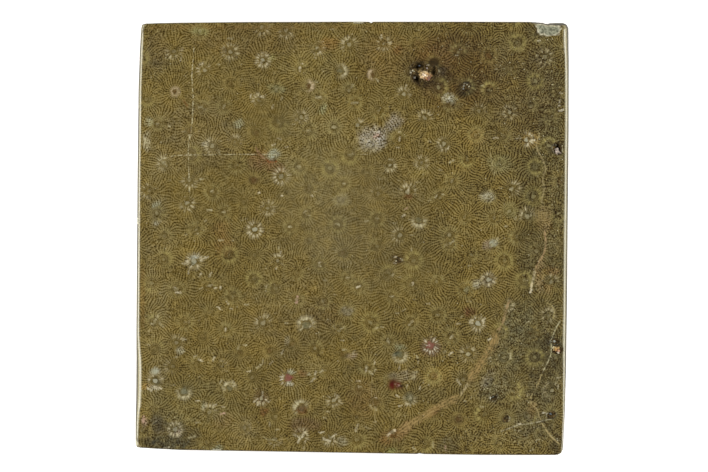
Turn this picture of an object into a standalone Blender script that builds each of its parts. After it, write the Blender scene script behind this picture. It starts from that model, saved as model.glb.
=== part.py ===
"""A square-sawn slab of fossil rugose coral, lying on its sawn back with the polished face up.

The slab is one piece of stone, so it is one object. It is built from an outline of four sides that
were sawn one after another, each a little off square. The outline is raised to the slab's
thickness and its face edge, the arris, is rounded: wide where it was ground by hand on the left
and right, narrow on the near and far sides. Flakes broken off the edges and hollows in the face
are then cut away.

Units are metres and +Z is up. The origin is under the middle of the slab, on the surface it rests
on. The near side faces -Y and the right side faces +X.
"""

import math

import bmesh
import bpy
from mathutils import Matrix, Vector, noise

MM = 0.001

# Driving dimensions.
THICKNESS = 12.0 * MM
BACK_ARRIS = 0.4 * MM
NARROW_ARRIS = 0.5 * MM
LEFT_ARRIS = 1.2 * MM
LEFT_WIDE_ARRIS = 2.2 * MM
RIGHT_ARRIS = 1.5 * MM
RIGHT_WIDE_ARRIS = 2.3 * MM

# The left arris is widest between these heights up the face. The right one runs out over the
# second span and widens over the third.
LEFT_WIDE_SPAN = (-47.0 * MM, -34.0 * MM)
RIGHT_FADE_SPAN = (-60.0 * MM, -28.0 * MM)
RIGHT_WIDEN_SPAN = (49.0 * MM, 60.0 * MM)
ARRIS_BLEND = 5.0 * MM

# How finely the outline and the rounding are divided.
SIDE_STEP = 6.0 * MM
CORNER_STEPS = 5
ARRIS_STEPS = 4

# The outline in millimetres, anticlockwise from the near left corner. Each side ends at the
# corner where the next one starts.
NEAR_SIDE = [
    (-63.55, -61.35), (-50.5, -62.05), (-32.9, -62.35), (-9.5, -62.75), (14.0, -63.15), (37.4, -63.5),
]
RIGHT_SIDE = [
    (61.65, -63.55), (62.35, -50.3), (62.75, -38.6), (63.05, -21.0), (63.25, 2.5), (63.55, 31.8),
    (63.6, 52.3),
]
FAR_SIDE = [
    (63.55, 63.45), (31.6, 63.55), (-3.6, 63.55), (-32.9, 63.45), (-50.5, 63.25),
]
LEFT_SIDE = [
    (-61.85, 63.05), (-62.35, 55.2), (-62.75, 43.5), (-63.05, 17.1), (-63.3, -18.0), (-63.6, -53.2),
]
SIDES = [NEAR_SIDE, RIGHT_SIDE, FAR_SIDE, LEFT_SIDE]
CORNER_RADII = [0.8 * MM, 1.9 * MM, 1.7 * MM, 1.0 * MM]

# Hollows in the face, in millimetres: where, half length, half width, depth, turn in degrees.
HOLLOWS = [
    ((20.9, 48.6), 3.5, 2.5, 0.6, -15),
    ((19.3, 50.6), 2.1, 1.1, 1.7, 10),
    ((18.8, 46.9), 1.8, 1.2, 1.4, -30),
    ((24.0, 48.9), 1.5, 1.0, 0.9, 70),
    ((60.1, 26.3), 1.9, 1.3, 1.1, 90),
    ((59.4, -30.2), 1.4, 0.8, 0.5, 0),
    ((60.1, -32.7), 1.6, 1.2, 0.5, -30),
    ((13.5, -6.4), 1.1, 0.8, 0.4, 30),
    ((33.2, 44.2), 1.5, 0.9, 0.5, 30),
    ((58.3, -51.7), 1.4, 0.9, 0.5, 30),
    ((41.5, -46.7), 1.0, 0.7, 0.6, 0),
    ((45.0, -52.8), 1.1, 0.8, 0.4, 60),
]

# Flakes broken off the edges, in millimetres: the middle of the scar's bowl, with its height
# measured from the face, and its half sizes along X, Y and Z.
FLAKES = [
    ((57.5, 62.1, 0.4), (3.2, 2.5, 1.8)),
    ((55.9, 61.5, 0.3), (1.7, 1.7, 1.2)),
    ((59.2, 61.3, 0.3), (1.6, 1.8, 1.2)),
    ((57.3, 65.1, 0.0), (1.7, 2.2, 26.0)),
    ((-58.1, 63.7, 0.0), (1.9, 1.0, 1.0)),
    ((1.9, 64.0, 0.0), (1.8, 1.0, 0.9)),
    ((5.6, 64.1, -2.0), (0.9, 0.9, 18.0)),
    ((-10.6, 63.9, 0.0), (0.9, 0.7, 0.7)),
    ((19.9, -63.8, -1.0), (0.9, 0.9, 18.0)),
    ((-40.2, -62.7, 0.0), (2.3, 1.0, 0.8)),
    ((-63.15, 38.2, 0.0), (0.9, 1.0, 1.1)),
    ((-63.35, 5.2, 0.0), (1.0, 1.2, 1.3)),
    ((-63.85, -48.3, 0.0), (0.9, 1.2, 1.0)),
    ((-22.0, -62.9, -12.0), (2.6, 1.0, 1.3)),
    ((63.55, -12.0, -12.0), (1.0, 3.1, 1.5)),
    ((-41.0, 63.8, -12.0), (3.4, 1.2, 1.2)),
]

# A scar's bowl is uneven by this share of its size, over lumps of this share of it.
BOWL_WANDER = 0.3
BOWL_LUMP = 0.9
# A hollow's bowl is centred above the face by this share of its depth.
HOLLOW_LIFT = 0.4
# A scar is cut by a ball of facets about this wide, which starts as an icosahedron. The edge of an
# icosahedron is this many times its radius, and each subdivision halves it.
SCAR_FACET = 0.6 * MM
ICOSAHEDRON_EDGE = 1.05

# Sides that look this far to the left or right have their own arris, and between these shares of
# that direction the corners blend it into the narrow one.
CORNER_BLEND = (0.3, 0.9)
SHARP_ANGLE = math.radians(35)

LIMESTONE_COLOUR = (0.16, 0.12, 0.044, 1.0)
LIMESTONE_ROUGHNESS = 0.3


def clear_scene():
    for old in list(bpy.data.objects):
        bpy.data.objects.remove(old, do_unlink=True)


def limestone():
    """Polished fossil limestone: olive brown and fairly glossy."""
    material = bpy.data.materials.new("polished coral limestone")
    material.use_nodes = True
    shader = material.node_tree.nodes["Principled BSDF"]
    shader.inputs["Base Color"].default_value = LIMESTONE_COLOUR
    shader.inputs["Roughness"].default_value = LIMESTONE_ROUGHNESS
    shader.inputs["Metallic"].default_value = 0.0
    return material


def fillet(before, corner, after, radius):
    """The points of an arc that rounds the corner between its two neighbours."""
    back = (before - corner).normalized()
    ahead = (after - corner).normalized()
    half_angle = back.angle(ahead) / 2
    centre = corner + (back + ahead).normalized() * radius / math.sin(half_angle)
    start = corner + back * radius / math.tan(half_angle) - centre
    turn = (math.pi - 2 * half_angle) / CORNER_STEPS
    return [centre + Matrix.Rotation(turn * step, 2) @ start for step in range(CORNER_STEPS + 1)]


def divide(start, end):
    """The points after start and before end of a straight stretch of a side."""
    count = max(1, round((end - start).length / SIDE_STEP))
    return [start.lerp(end, step / count) for step in range(1, count)]


def slab_outline():
    """The whole outline, anticlockwise, with rounded corners and evenly divided sides."""
    knots = []
    for side, radius in zip(SIDES, CORNER_RADII):
        for index, (x, y) in enumerate(side):
            knots.append((Vector((x, y)) * MM, radius if index == 0 else None))
    stops = []
    for index, (point, radius) in enumerate(knots):
        if radius is None:
            stops.append([point])
        else:
            stops.append(fillet(knots[index - 1][0], point, knots[index + 1][0], radius))
    outline = []
    for index, stop in enumerate(stops):
        outline += stop
        outline += divide(stop[-1], stops[(index + 1) % len(stops)][0])
    return outline


def outward(outline):
    """The outward direction at each point of an anticlockwise outline."""
    directions = []
    for index in range(len(outline)):
        along = outline[(index + 1) % len(outline)] - outline[index - 1]
        directions.append(Vector((along.y, -along.x)).normalized())
    return directions


def ease(value, low, high):
    """0 below low, 1 above high, and a smooth rise between."""
    share = min(max((value - low) / (high - low), 0.0), 1.0)
    return share * share * (3 - 2 * share)


def arris_radius(point, direction):
    """How far the face's edge is rounded at a point of the outline."""
    if direction.x < 0:
        low, high = LEFT_WIDE_SPAN
        wide = ease(point.y, low - ARRIS_BLEND, low) * (1 - ease(point.y, high, high + ARRIS_BLEND))
        radius = LEFT_ARRIS + (LEFT_WIDE_ARRIS - LEFT_ARRIS) * wide
    else:
        radius = NARROW_ARRIS + (RIGHT_ARRIS - NARROW_ARRIS) * ease(point.y, *RIGHT_FADE_SPAN)
        radius += (RIGHT_WIDE_ARRIS - RIGHT_ARRIS) * ease(point.y, *RIGHT_WIDEN_SPAN)
    return NARROW_ARRIS + (radius - NARROW_ARRIS) * ease(abs(direction.x), *CORNER_BLEND)


def ring(outline, inward, height):
    """The outline moved in by a distance at each point, at a height at each point."""
    directions = outward(outline)
    return [
        Vector((*(point - direction * inward(point, direction)), height(point, direction)))
        for point, direction in zip(outline, directions)
    ]


def slab_rings(outline):
    """The rings of the slab from its back to its face: the back arris, the side, the face arris."""
    rings = [
        ring(outline, lambda *_: BACK_ARRIS, lambda *_: 0.0),
        ring(outline, lambda *_: 0.0, lambda *_: BACK_ARRIS),
    ]
    for step in range(ARRIS_STEPS + 1):
        angle = math.pi / 2 * step / ARRIS_STEPS
        rings.append(
            ring(
                outline,
                lambda *place: arris_radius(*place) * (1 - math.cos(angle)),
                lambda *place: THICKNESS - arris_radius(*place) * (1 - math.sin(angle)),
            )
        )
    return rings


def raise_slab(rings):
    """A closed mesh: the back as one face, extruded once for each ring above it."""
    shape = bmesh.new()
    place = shape.verts.layers.int.new("place")
    corners = [shape.verts.new(point) for point in rings[0]]
    for index, corner in enumerate(corners):
        corner[place] = index
    cap = shape.faces.new(corners)
    back = cap
    for level in rings[1:]:
        made = bmesh.ops.extrude_face_region(shape, geom=[cap])["geom"]
        if cap is not back:
            bmesh.ops.delete(shape, geom=[cap], context="FACES_ONLY")
        cap = next(item for item in made if isinstance(item, bmesh.types.BMFace))
        for corner in cap.verts:
            corner.co = level[corner[place]]
    bmesh.ops.recalc_face_normals(shape, faces=shape.faces)
    mesh = bpy.data.meshes.new("coral_slab")
    shape.to_mesh(mesh)
    shape.free()
    return mesh


def bowl_cutter(name, middle, half_sizes, turn, holder):
    """An uneven ball that leaves a bowl-shaped scar where it is cut away."""
    level_size = math.sqrt(half_sizes.x * half_sizes.y)
    halvings = math.ceil(math.log2(ICOSAHEDRON_EDGE * level_size / SCAR_FACET))
    shape = bmesh.new()
    bmesh.ops.create_icosphere(shape, subdivisions=1 + halvings, radius=1.0)
    for corner in shape.verts:
        lump = noise.noise(corner.co / BOWL_LUMP + middle / MM)
        corner.co *= 1 + BOWL_WANDER * lump
    bmesh.ops.scale(shape, vec=half_sizes, verts=shape.verts)
    bmesh.ops.rotate(shape, matrix=Matrix.Rotation(math.radians(turn), 3, "Z"), verts=shape.verts)
    mesh = bpy.data.meshes.new(name)
    shape.to_mesh(mesh)
    shape.free()
    cutter = bpy.data.objects.new(name, mesh)
    cutter.location = middle
    cutter.display_type = "WIRE"
    cutter.hide_render = True
    holder.objects.link(cutter)


def cutters():
    """The collection of all bowls to be cut from the slab."""
    holder = bpy.data.collections.new("scars")
    bpy.context.scene.collection.children.link(holder)
    for index, ((x, y), half_length, half_width, depth, turn) in enumerate(HOLLOWS):
        lift = depth * HOLLOW_LIFT
        middle = Vector((x, y, lift)) * MM
        middle.z += THICKNESS
        half_sizes = Vector((half_length, half_width, depth + lift)) * MM
        bowl_cutter(f"hollow_{index}", middle, half_sizes, turn, holder)
    for index, (place, half_sizes) in enumerate(FLAKES):
        middle = Vector(place) * MM
        middle.z += THICKNESS
        bowl_cutter(f"flake_{index}", middle, Vector(half_sizes) * MM, 0, holder)
    return holder


def coral_slab():
    slab = bpy.data.objects.new("coral_slab", raise_slab(slab_rings(slab_outline())))
    bpy.context.scene.collection.objects.link(slab)
    slab.data.materials.append(limestone())
    slab.data.shade_smooth()
    slab.data.set_sharp_from_angle(angle=SHARP_ANGLE)
    cut = slab.modifiers.new("scars", "BOOLEAN")
    cut.operation = "DIFFERENCE"
    cut.solver = "EXACT"
    cut.operand_type = "COLLECTION"
    cut.collection = cutters()
    return slab


clear_scene()
coral_slab()
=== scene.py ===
# %% [markdown]
# # A polished slab of fossil rugose coral
#
# The object is a square of limestone, sawn from a reef and polished on one face. The rock is one
# coral colony. Its corallites, the tubes that single polyps lived in, are cut across, and because
# they had no walls their radial plates, the septa, run on in arcs from each centre to the next.
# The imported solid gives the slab's true shape. This script lays a fine skin over that solid, works
# out the coral's pattern on it, and lights it like a specimen on a pale table.

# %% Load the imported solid
import math
from functools import partial

import bmesh
import bpy
import numpy as np
from mathutils import Euler, Matrix, Vector, noise
from mathutils.bvhtree import BVHTree


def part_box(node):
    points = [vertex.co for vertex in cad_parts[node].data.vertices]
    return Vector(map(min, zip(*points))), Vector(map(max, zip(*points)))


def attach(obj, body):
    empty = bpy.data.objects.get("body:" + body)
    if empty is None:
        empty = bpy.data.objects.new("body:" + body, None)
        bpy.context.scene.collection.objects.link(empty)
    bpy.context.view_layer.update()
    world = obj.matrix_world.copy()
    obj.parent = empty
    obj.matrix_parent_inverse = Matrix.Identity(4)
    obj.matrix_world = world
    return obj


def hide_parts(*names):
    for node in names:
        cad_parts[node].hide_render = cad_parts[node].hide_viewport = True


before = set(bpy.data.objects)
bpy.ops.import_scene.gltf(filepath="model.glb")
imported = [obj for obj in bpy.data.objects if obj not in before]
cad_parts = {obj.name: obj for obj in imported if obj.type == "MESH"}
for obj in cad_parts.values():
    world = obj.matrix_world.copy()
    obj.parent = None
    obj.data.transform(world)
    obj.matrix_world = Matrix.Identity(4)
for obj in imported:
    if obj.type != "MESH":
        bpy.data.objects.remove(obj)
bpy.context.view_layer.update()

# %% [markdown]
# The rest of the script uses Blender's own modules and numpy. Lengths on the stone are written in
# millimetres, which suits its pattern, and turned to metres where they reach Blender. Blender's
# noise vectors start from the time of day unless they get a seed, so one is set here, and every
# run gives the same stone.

MM = 0.001
NOISE_SEED = 3
noise.seed_set(NOISE_SEED)
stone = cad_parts["coral_slab"]
stone_low, stone_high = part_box("coral_slab")
HALF_X = (stone_high.x - stone_low.x) / 2
HALF_Y = (stone_high.y - stone_low.y) / 2
THICKNESS = stone_high.z
print(f"slab {2 * HALF_X / MM:.1f} x {2 * HALF_Y / MM:.1f} x {THICKNESS / MM:.1f} mm")

# %% [markdown]
# ## The skin
#
# The solid's own mesh is good for checks, but its long thin triangles can't carry a pattern that
# changes every millimetre. A subdivided cube would put as many cuts through the thin sides as
# across the face. So the skin is two grids, one for the face and one for the back, joined by rings
# of faces round the edge. Each point is then dropped onto the solid along a straight line, the way
# a probe measures a part, which keeps every chip and hollow where it really is.

# %% A probe that finds the solid's surface
SAME_POINT = 0.001 * MM
PROBE_REACH = 0.05

probe_mesh = bmesh.new()
probe_mesh.from_mesh(stone.data)
bmesh.ops.remove_doubles(probe_mesh, verts=probe_mesh.verts, dist=SAME_POINT)
solid = BVHTree.FromBMesh(probe_mesh)
probe_mesh.free()


def touch(target, outward):
    """Where a straight line from outside, aimed at a point inside, meets the stone."""
    hit = solid.ray_cast(target + outward * PROBE_REACH, -outward)[0]
    return target if hit is None else hit


def side_at(outward, across):
    """The side's surface at half height, at a distance across from the middle of that side.

    The side is further off than the face is, so the probe starts twice as far out.
    """
    along = Vector((abs(outward.y), abs(outward.x), 0))
    return touch(along * across + Vector((0, 0, THICKNESS / 2)), outward * 2)


print("the right side's middle is at", side_at(Vector((1, 0, 0)), 0))

# %% [markdown]
# The face's grid stops a little inside the edge, past the widest rounding of the arris. Its
# border follows the slab's slightly crooked sides, and the inside is spread evenly between the
# four border lines. That way of filling four curves is called a Coons patch.

# %% Spread a grid between the four sides
GRID = 176
FACE_INSET = 2.7 * MM
BACK_INSET = 1.0 * MM
CORNER_CLEAR = 4.5 * MM
X_AXIS, Y_AXIS, Z_AXIS = Vector((1, 0, 0)), Vector((0, 1, 0)), Vector((0, 0, 1))


def inner_corner(sign_x, sign_y, inset):
    x = side_at(X_AXIS * sign_x, sign_y * (HALF_Y - CORNER_CLEAR)).x - sign_x * inset
    y = side_at(Y_AXIS * sign_y, sign_x * (HALF_X - CORNER_CLEAR)).y - sign_y * inset
    return np.array((x, y))


def inner_line(outward, start, end, inset):
    """Points along one border of the grid, inset from the side that it follows."""
    fixed, free = (0, 1) if outward.x else (1, 0)
    points = []
    for share in np.linspace(0, 1, GRID + 1):
        point = start * (1 - share) + end * share
        point[fixed] = side_at(outward, point[free])[fixed] - outward[fixed] * inset
        points.append(point)
    points[0], points[-1] = start, end
    return np.array(points)


def patch(inset):
    """Grid positions [column, row] between the four border lines."""
    near_left, near_right = inner_corner(-1, -1, inset), inner_corner(1, -1, inset)
    far_left, far_right = inner_corner(-1, 1, inset), inner_corner(1, 1, inset)
    left = inner_line(-X_AXIS, near_left, far_left, inset)[None, :]
    right = inner_line(X_AXIS, near_right, far_right, inset)[None, :]
    near = inner_line(-Y_AXIS, near_left, near_right, inset)[:, None]
    far = inner_line(Y_AXIS, far_left, far_right, inset)[:, None]
    s = np.linspace(0, 1, GRID + 1)[:, None, None]
    t = np.linspace(0, 1, GRID + 1)[None, :, None]
    near_corners = (1 - s) * near_left + s * near_right
    far_corners = (1 - s) * far_left + s * far_right
    across = (1 - s) * left + s * right
    along = (1 - t) * near + t * far
    return across + along - ((1 - t) * near_corners + t * far_corners)


face_patch = patch(FACE_INSET)
back_patch = patch(BACK_INSET)
print(f"grid spacing {np.linalg.norm(face_patch[1, 0] - face_patch[0, 0]) / MM:.2f} mm")

# %% [markdown]
# `create_grid` makes both grids. Each point remembers its column and row in two whole-number
# layers, because those layers are copied when the border is extruded, so every new ring still
# knows which border point it came from. A third layer marks the points of the face's own grid.

# %% Make the two grids
skin = bmesh.new()
column = skin.verts.layers.int.new("column")
row = skin.verts.layers.int.new("row")
on_face = skin.verts.layers.int.new("on_face")


def lay_grid(positions, outward):
    made = bmesh.ops.create_grid(skin, x_segments=GRID, y_segments=GRID, size=1.0)["verts"]
    for vert in made:
        vert[column] = round((vert.co.x + 1) / 2 * GRID)
        vert[row] = round((vert.co.y + 1) / 2 * GRID)
        x, y = positions[vert[column], vert[row]]
        vert.co = touch(Vector((x, y, THICKNESS / 2)), outward)
        vert[on_face] = 1 if outward.z > 0 else 0


lay_grid(face_patch, Z_AXIS)
lay_grid(back_patch, -Z_AXIS)
print(len(skin.verts), "grid points")

# %% [markdown]
# The edge is made by extruding the border of the face ring by ring: over the rounded arris, down
# the side, and round the smaller arris of the back. First each border point learns how it looks
# out of the stone, how far the side is, and how round the arris is there. Near a corner the
# directions fan out, so the few border points there spread round it. The arris shows a bright
# line of light, and the eye sees every kink in such a line. So its radius is measured on the
# solid, and the curve itself is worked out again as a true arc.

# %% Measure the edge
CORNER_FAN = 3.0 * MM
CORNER_TURN = math.radians(45)
RADIUS_WINDOW = 4
DIAGONAL = math.sqrt(0.5)


def border_places():
    """The border's columns and rows, in order round the slab."""
    near = [(i, 0) for i in range(GRID)]
    right = [(GRID, j) for j in range(GRID)]
    far = [(i, GRID) for i in range(GRID, 0, -1)]
    left = [(0, j) for j in range(GRID, 0, -1)]
    return near + right + far + left


def fan_direction(i, j):
    """The level direction in which the border point at column i, row j looks out of the stone."""
    axis, fixed, free = (X_AXIS, i, j) if i in (0, GRID) else (Y_AXIS, j, i)
    outward = axis * (1 if fixed else -1)
    steps = min(free, GRID - free)
    turn = CORNER_TURN * max(0.0, 1 - steps * 2 * HALF_X / GRID / CORNER_FAN)
    aside = Vector((abs(outward.y), abs(outward.x), 0)) * (1 if free > GRID / 2 else -1)
    return outward * math.cos(turn) + aside * math.sin(turn)


def arris_radius(level, edge, upward, inset):
    """The arris's radius, from how far the solid is cut back at 45 degrees from a sharp corner."""
    diagonal = (level + Z_AXIS * upward) * DIAGONAL
    return (touch(edge - diagonal * inset, diagonal) - edge).length / (math.sqrt(2) - 1)


def measure_edge(positions, height, upward, inset):
    """Each border place's direction, reach to the side and arris radius, smoothed on the edge."""
    levels, reaches, radii = [], [], []
    for place in around:
        pivot = Vector((*positions[place], THICKNESS / 2))
        level = fan_direction(*place)
        side_point = touch(pivot, level)
        levels.append(level)
        reaches.append((side_point - pivot).length)
        edge = Vector((side_point.x, side_point.y, height))
        radii.append(arris_radius(level, edge, upward, inset))
    for settle in (np.median, np.mean):
        window = [np.roll(radii, shift) for shift in range(-RADIUS_WINDOW, RADIUS_WINDOW + 1)]
        radii = settle(window, axis=0)
    return levels, reaches, radii


around = border_places()
face_edge = measure_edge(face_patch, THICKNESS, 1, FACE_INSET)
back_edge = measure_edge(back_patch, 0.0, -1, BACK_INSET)
print(f"face arris {face_edge[2].min() / MM:.2f} to {face_edge[2].max() / MM:.2f} mm round")

# %% [markdown]
# A line from the pivot at some angle meets the flat top, the round or the flat side, whichever
# comes first. Where the solid lies clearly deeper than this whole edge, a flake has broken off,
# and the point is laid on the solid instead.

# %% Extrude the edge in rings
FACE_ANGLES = [76, 66, 58, 52, 47, 43, 38, 32, 24, 14, 0]
BACK_ANGLES = [0, 30, 45, 60, 90]
SIDE_RINGS = 5
BREAK_DEPTH = 0.14 * MM
WELD = 0.005 * MM
broken = skin.verts.layers.float.new("broken")


def whole_edge(reach, inset, radius, angle):
    """How far from the pivot a whole rounded edge lies, at an angle above the level."""
    ray = Vector((math.cos(angle), math.sin(angle)))
    centre = Vector((reach - radius, inset - radius))
    along = ray.dot(centre)
    distance = along + math.sqrt(max(0.0, along * along - centre.length_squared + radius * radius))
    if (ray * distance).x < centre.x:
        return inset / ray.y
    if (ray * distance).y < centre.y:
        return reach / ray.x
    return distance


def edge_rings():
    """For each ring: pivots, measured edge, inset, which way is up, height and angle."""
    face = (face_patch, face_edge, FACE_INSET, 1)
    back = (back_patch, back_edge, BACK_INSET, -1)
    lowest, highest = BACK_INSET, THICKNESS - FACE_INSET
    rings = [(*face, highest, math.radians(angle)) for angle in FACE_ANGLES]
    for step in range(1, SIDE_RINGS):
        rings.append((*face, highest + (lowest - highest) * step / SIDE_RINGS, 0.0))
    return rings + [(*back, lowest, math.radians(angle)) for angle in BACK_ANGLES]


number_around = {place: number for number, place in enumerate(around)}
border = [edge for edge in skin.edges if edge.is_boundary and edge.verts[0].co.z > THICKNESS / 2]
for positions, (levels, reaches, radii), inset, upward, height, angle in edge_rings():
    made = bmesh.ops.extrude_edge_only(skin, edges=border)["geom"]
    border = [item for item in made if isinstance(item, bmesh.types.BMEdge) and item.is_boundary]
    for vert in (item for item in made if isinstance(item, bmesh.types.BMVert)):
        number = number_around[vert[column], vert[row]]
        pivot = Vector((*positions[vert[column], vert[row]], height))
        outward = levels[number] * math.cos(angle) + Z_AXIS * upward * math.sin(angle)
        whole = pivot + outward * whole_edge(reaches[number], inset, radii[number], angle)
        found = touch(pivot, outward)
        lost = (whole - found).dot(outward)
        vert.co = found if lost > BREAK_DEPTH else whole
        vert[broken] = lost if lost > BREAK_DEPTH else 0.0
        vert[on_face] = 0
bmesh.ops.remove_doubles(skin, verts=skin.verts, dist=WELD)
bmesh.ops.recalc_face_normals(skin, faces=skin.faces)
open_edges = sum(not edge.is_manifold for edge in skin.edges)
print(len(skin.faces), "faces,", open_edges, "open edges")

# %% [markdown]
# Chips and hollows are broken stone, rougher than the sawn and polished parts. The faces there are
# divided twice more, laid on the solid again, and roughened with noise that only ever goes into
# the stone. A scar is a group of broken points that touch. One that comes close to a side is a
# chip and any other is a hollow. Deep hollows are undercut, so they are drawn in further.

# %% Refine and roughen the broken places
REFINEMENTS = 2
BREAK_GRAIN = 0.6 * MM
BREAK_RELIEF = 0.22 * MM
HOLLOW_CLEAR = 0.9 * MM
HOLLOW_EXTRA = 0.25
EXTRA_FROM, EXTRA_FULL = 0.6 * MM, 1.5 * MM
TOUCHED = 0.02 * MM
hollow = skin.verts.layers.float.new("hollow")


def side_gap(point):
    """How far a point is from the nearest of the four sides."""
    gaps = []
    for sign in (-1, 1):
        gaps.append(abs(side_at(X_AXIS * sign, point.y).x - point.x))
        gaps.append(abs(side_at(Y_AXIS * sign, point.x).y - point.y))
    return min(gaps)


def scars():
    """The broken points, in groups that touch."""
    waiting = {vert for vert in skin.verts if vert[broken] > 0}
    groups = []
    while waiting:
        group = [waiting.pop()]
        for vert in group:
            beside = {edge.other_vert(vert) for edge in vert.link_edges} & waiting
            waiting -= beside
            group += beside
        groups.append(group)
    return groups


for vert in skin.verts:
    if vert[on_face] and THICKNESS - vert.co.z > TOUCHED:
        vert[broken] = THICKNESS - vert.co.z
for level in range(REFINEMENTS):
    coarse = dict.fromkeys(
        face for vert in skin.verts if vert[broken] > 0 for face in vert.link_faces)
    edges = list(dict.fromkeys(edge for face in coarse for edge in face.edges))
    bmesh.ops.subdivide_edges(skin, edges=edges, cuts=1, use_grid_fill=True)
rough = [vert for vert in skin.verts if vert[broken] > 0]
for vert in rough:
    vert.co = solid.find_nearest(vert.co)[0]
for group in scars():
    if min(side_gap(vert.co) for vert in group) > HOLLOW_CLEAR:
        for vert in group:
            vert[hollow] = 1.0
            vert[broken] = max(0.0, THICKNESS - vert.co.z)
skin.normal_update()
for vert in rough:
    relief = abs(noise.noise(vert.co / BREAK_GRAIN)) * min(1.0, vert[broken] / BREAK_GRAIN)
    vert.co -= vert.normal * relief * BREAK_RELIEF
    missing = THICKNESS - vert.co.z
    undercut = min(1.0, max(0.0, (missing - EXTRA_FROM) / (EXTRA_FULL - EXTRA_FROM)))
    vert.co.z -= missing * undercut * HOLLOW_EXTRA * vert[hollow]
print(len(rough), "points on broken stone,", sum(vert[hollow] > 0 for vert in rough), "in hollows")

# %% [markdown]
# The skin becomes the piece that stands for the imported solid. It is shaded smooth everywhere: the
# arrises are modelled as real curves, so no edge needs to be marked sharp.

# %% Turn the skin into the slab
def put(name, data):
    """Put a mesh, a light or a camera into the scene as an object."""
    made = bpy.data.objects.new(name, data)
    bpy.context.scene.collection.objects.link(made)
    return made


def put_shape(name, shape):
    """Put a finished bmesh into the scene as an object."""
    mesh = bpy.data.meshes.new(name)
    shape.to_mesh(mesh)
    shape.free()
    return put(name, mesh)


slab = put_shape("polished_slab", skin)
slab_mesh = slab.data
slab_mesh.shade_smooth()
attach(slab, "root")
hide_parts("coral_slab")
print(sum(len(face.vertices) - 2 for face in slab_mesh.polygons), "triangles")
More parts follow.
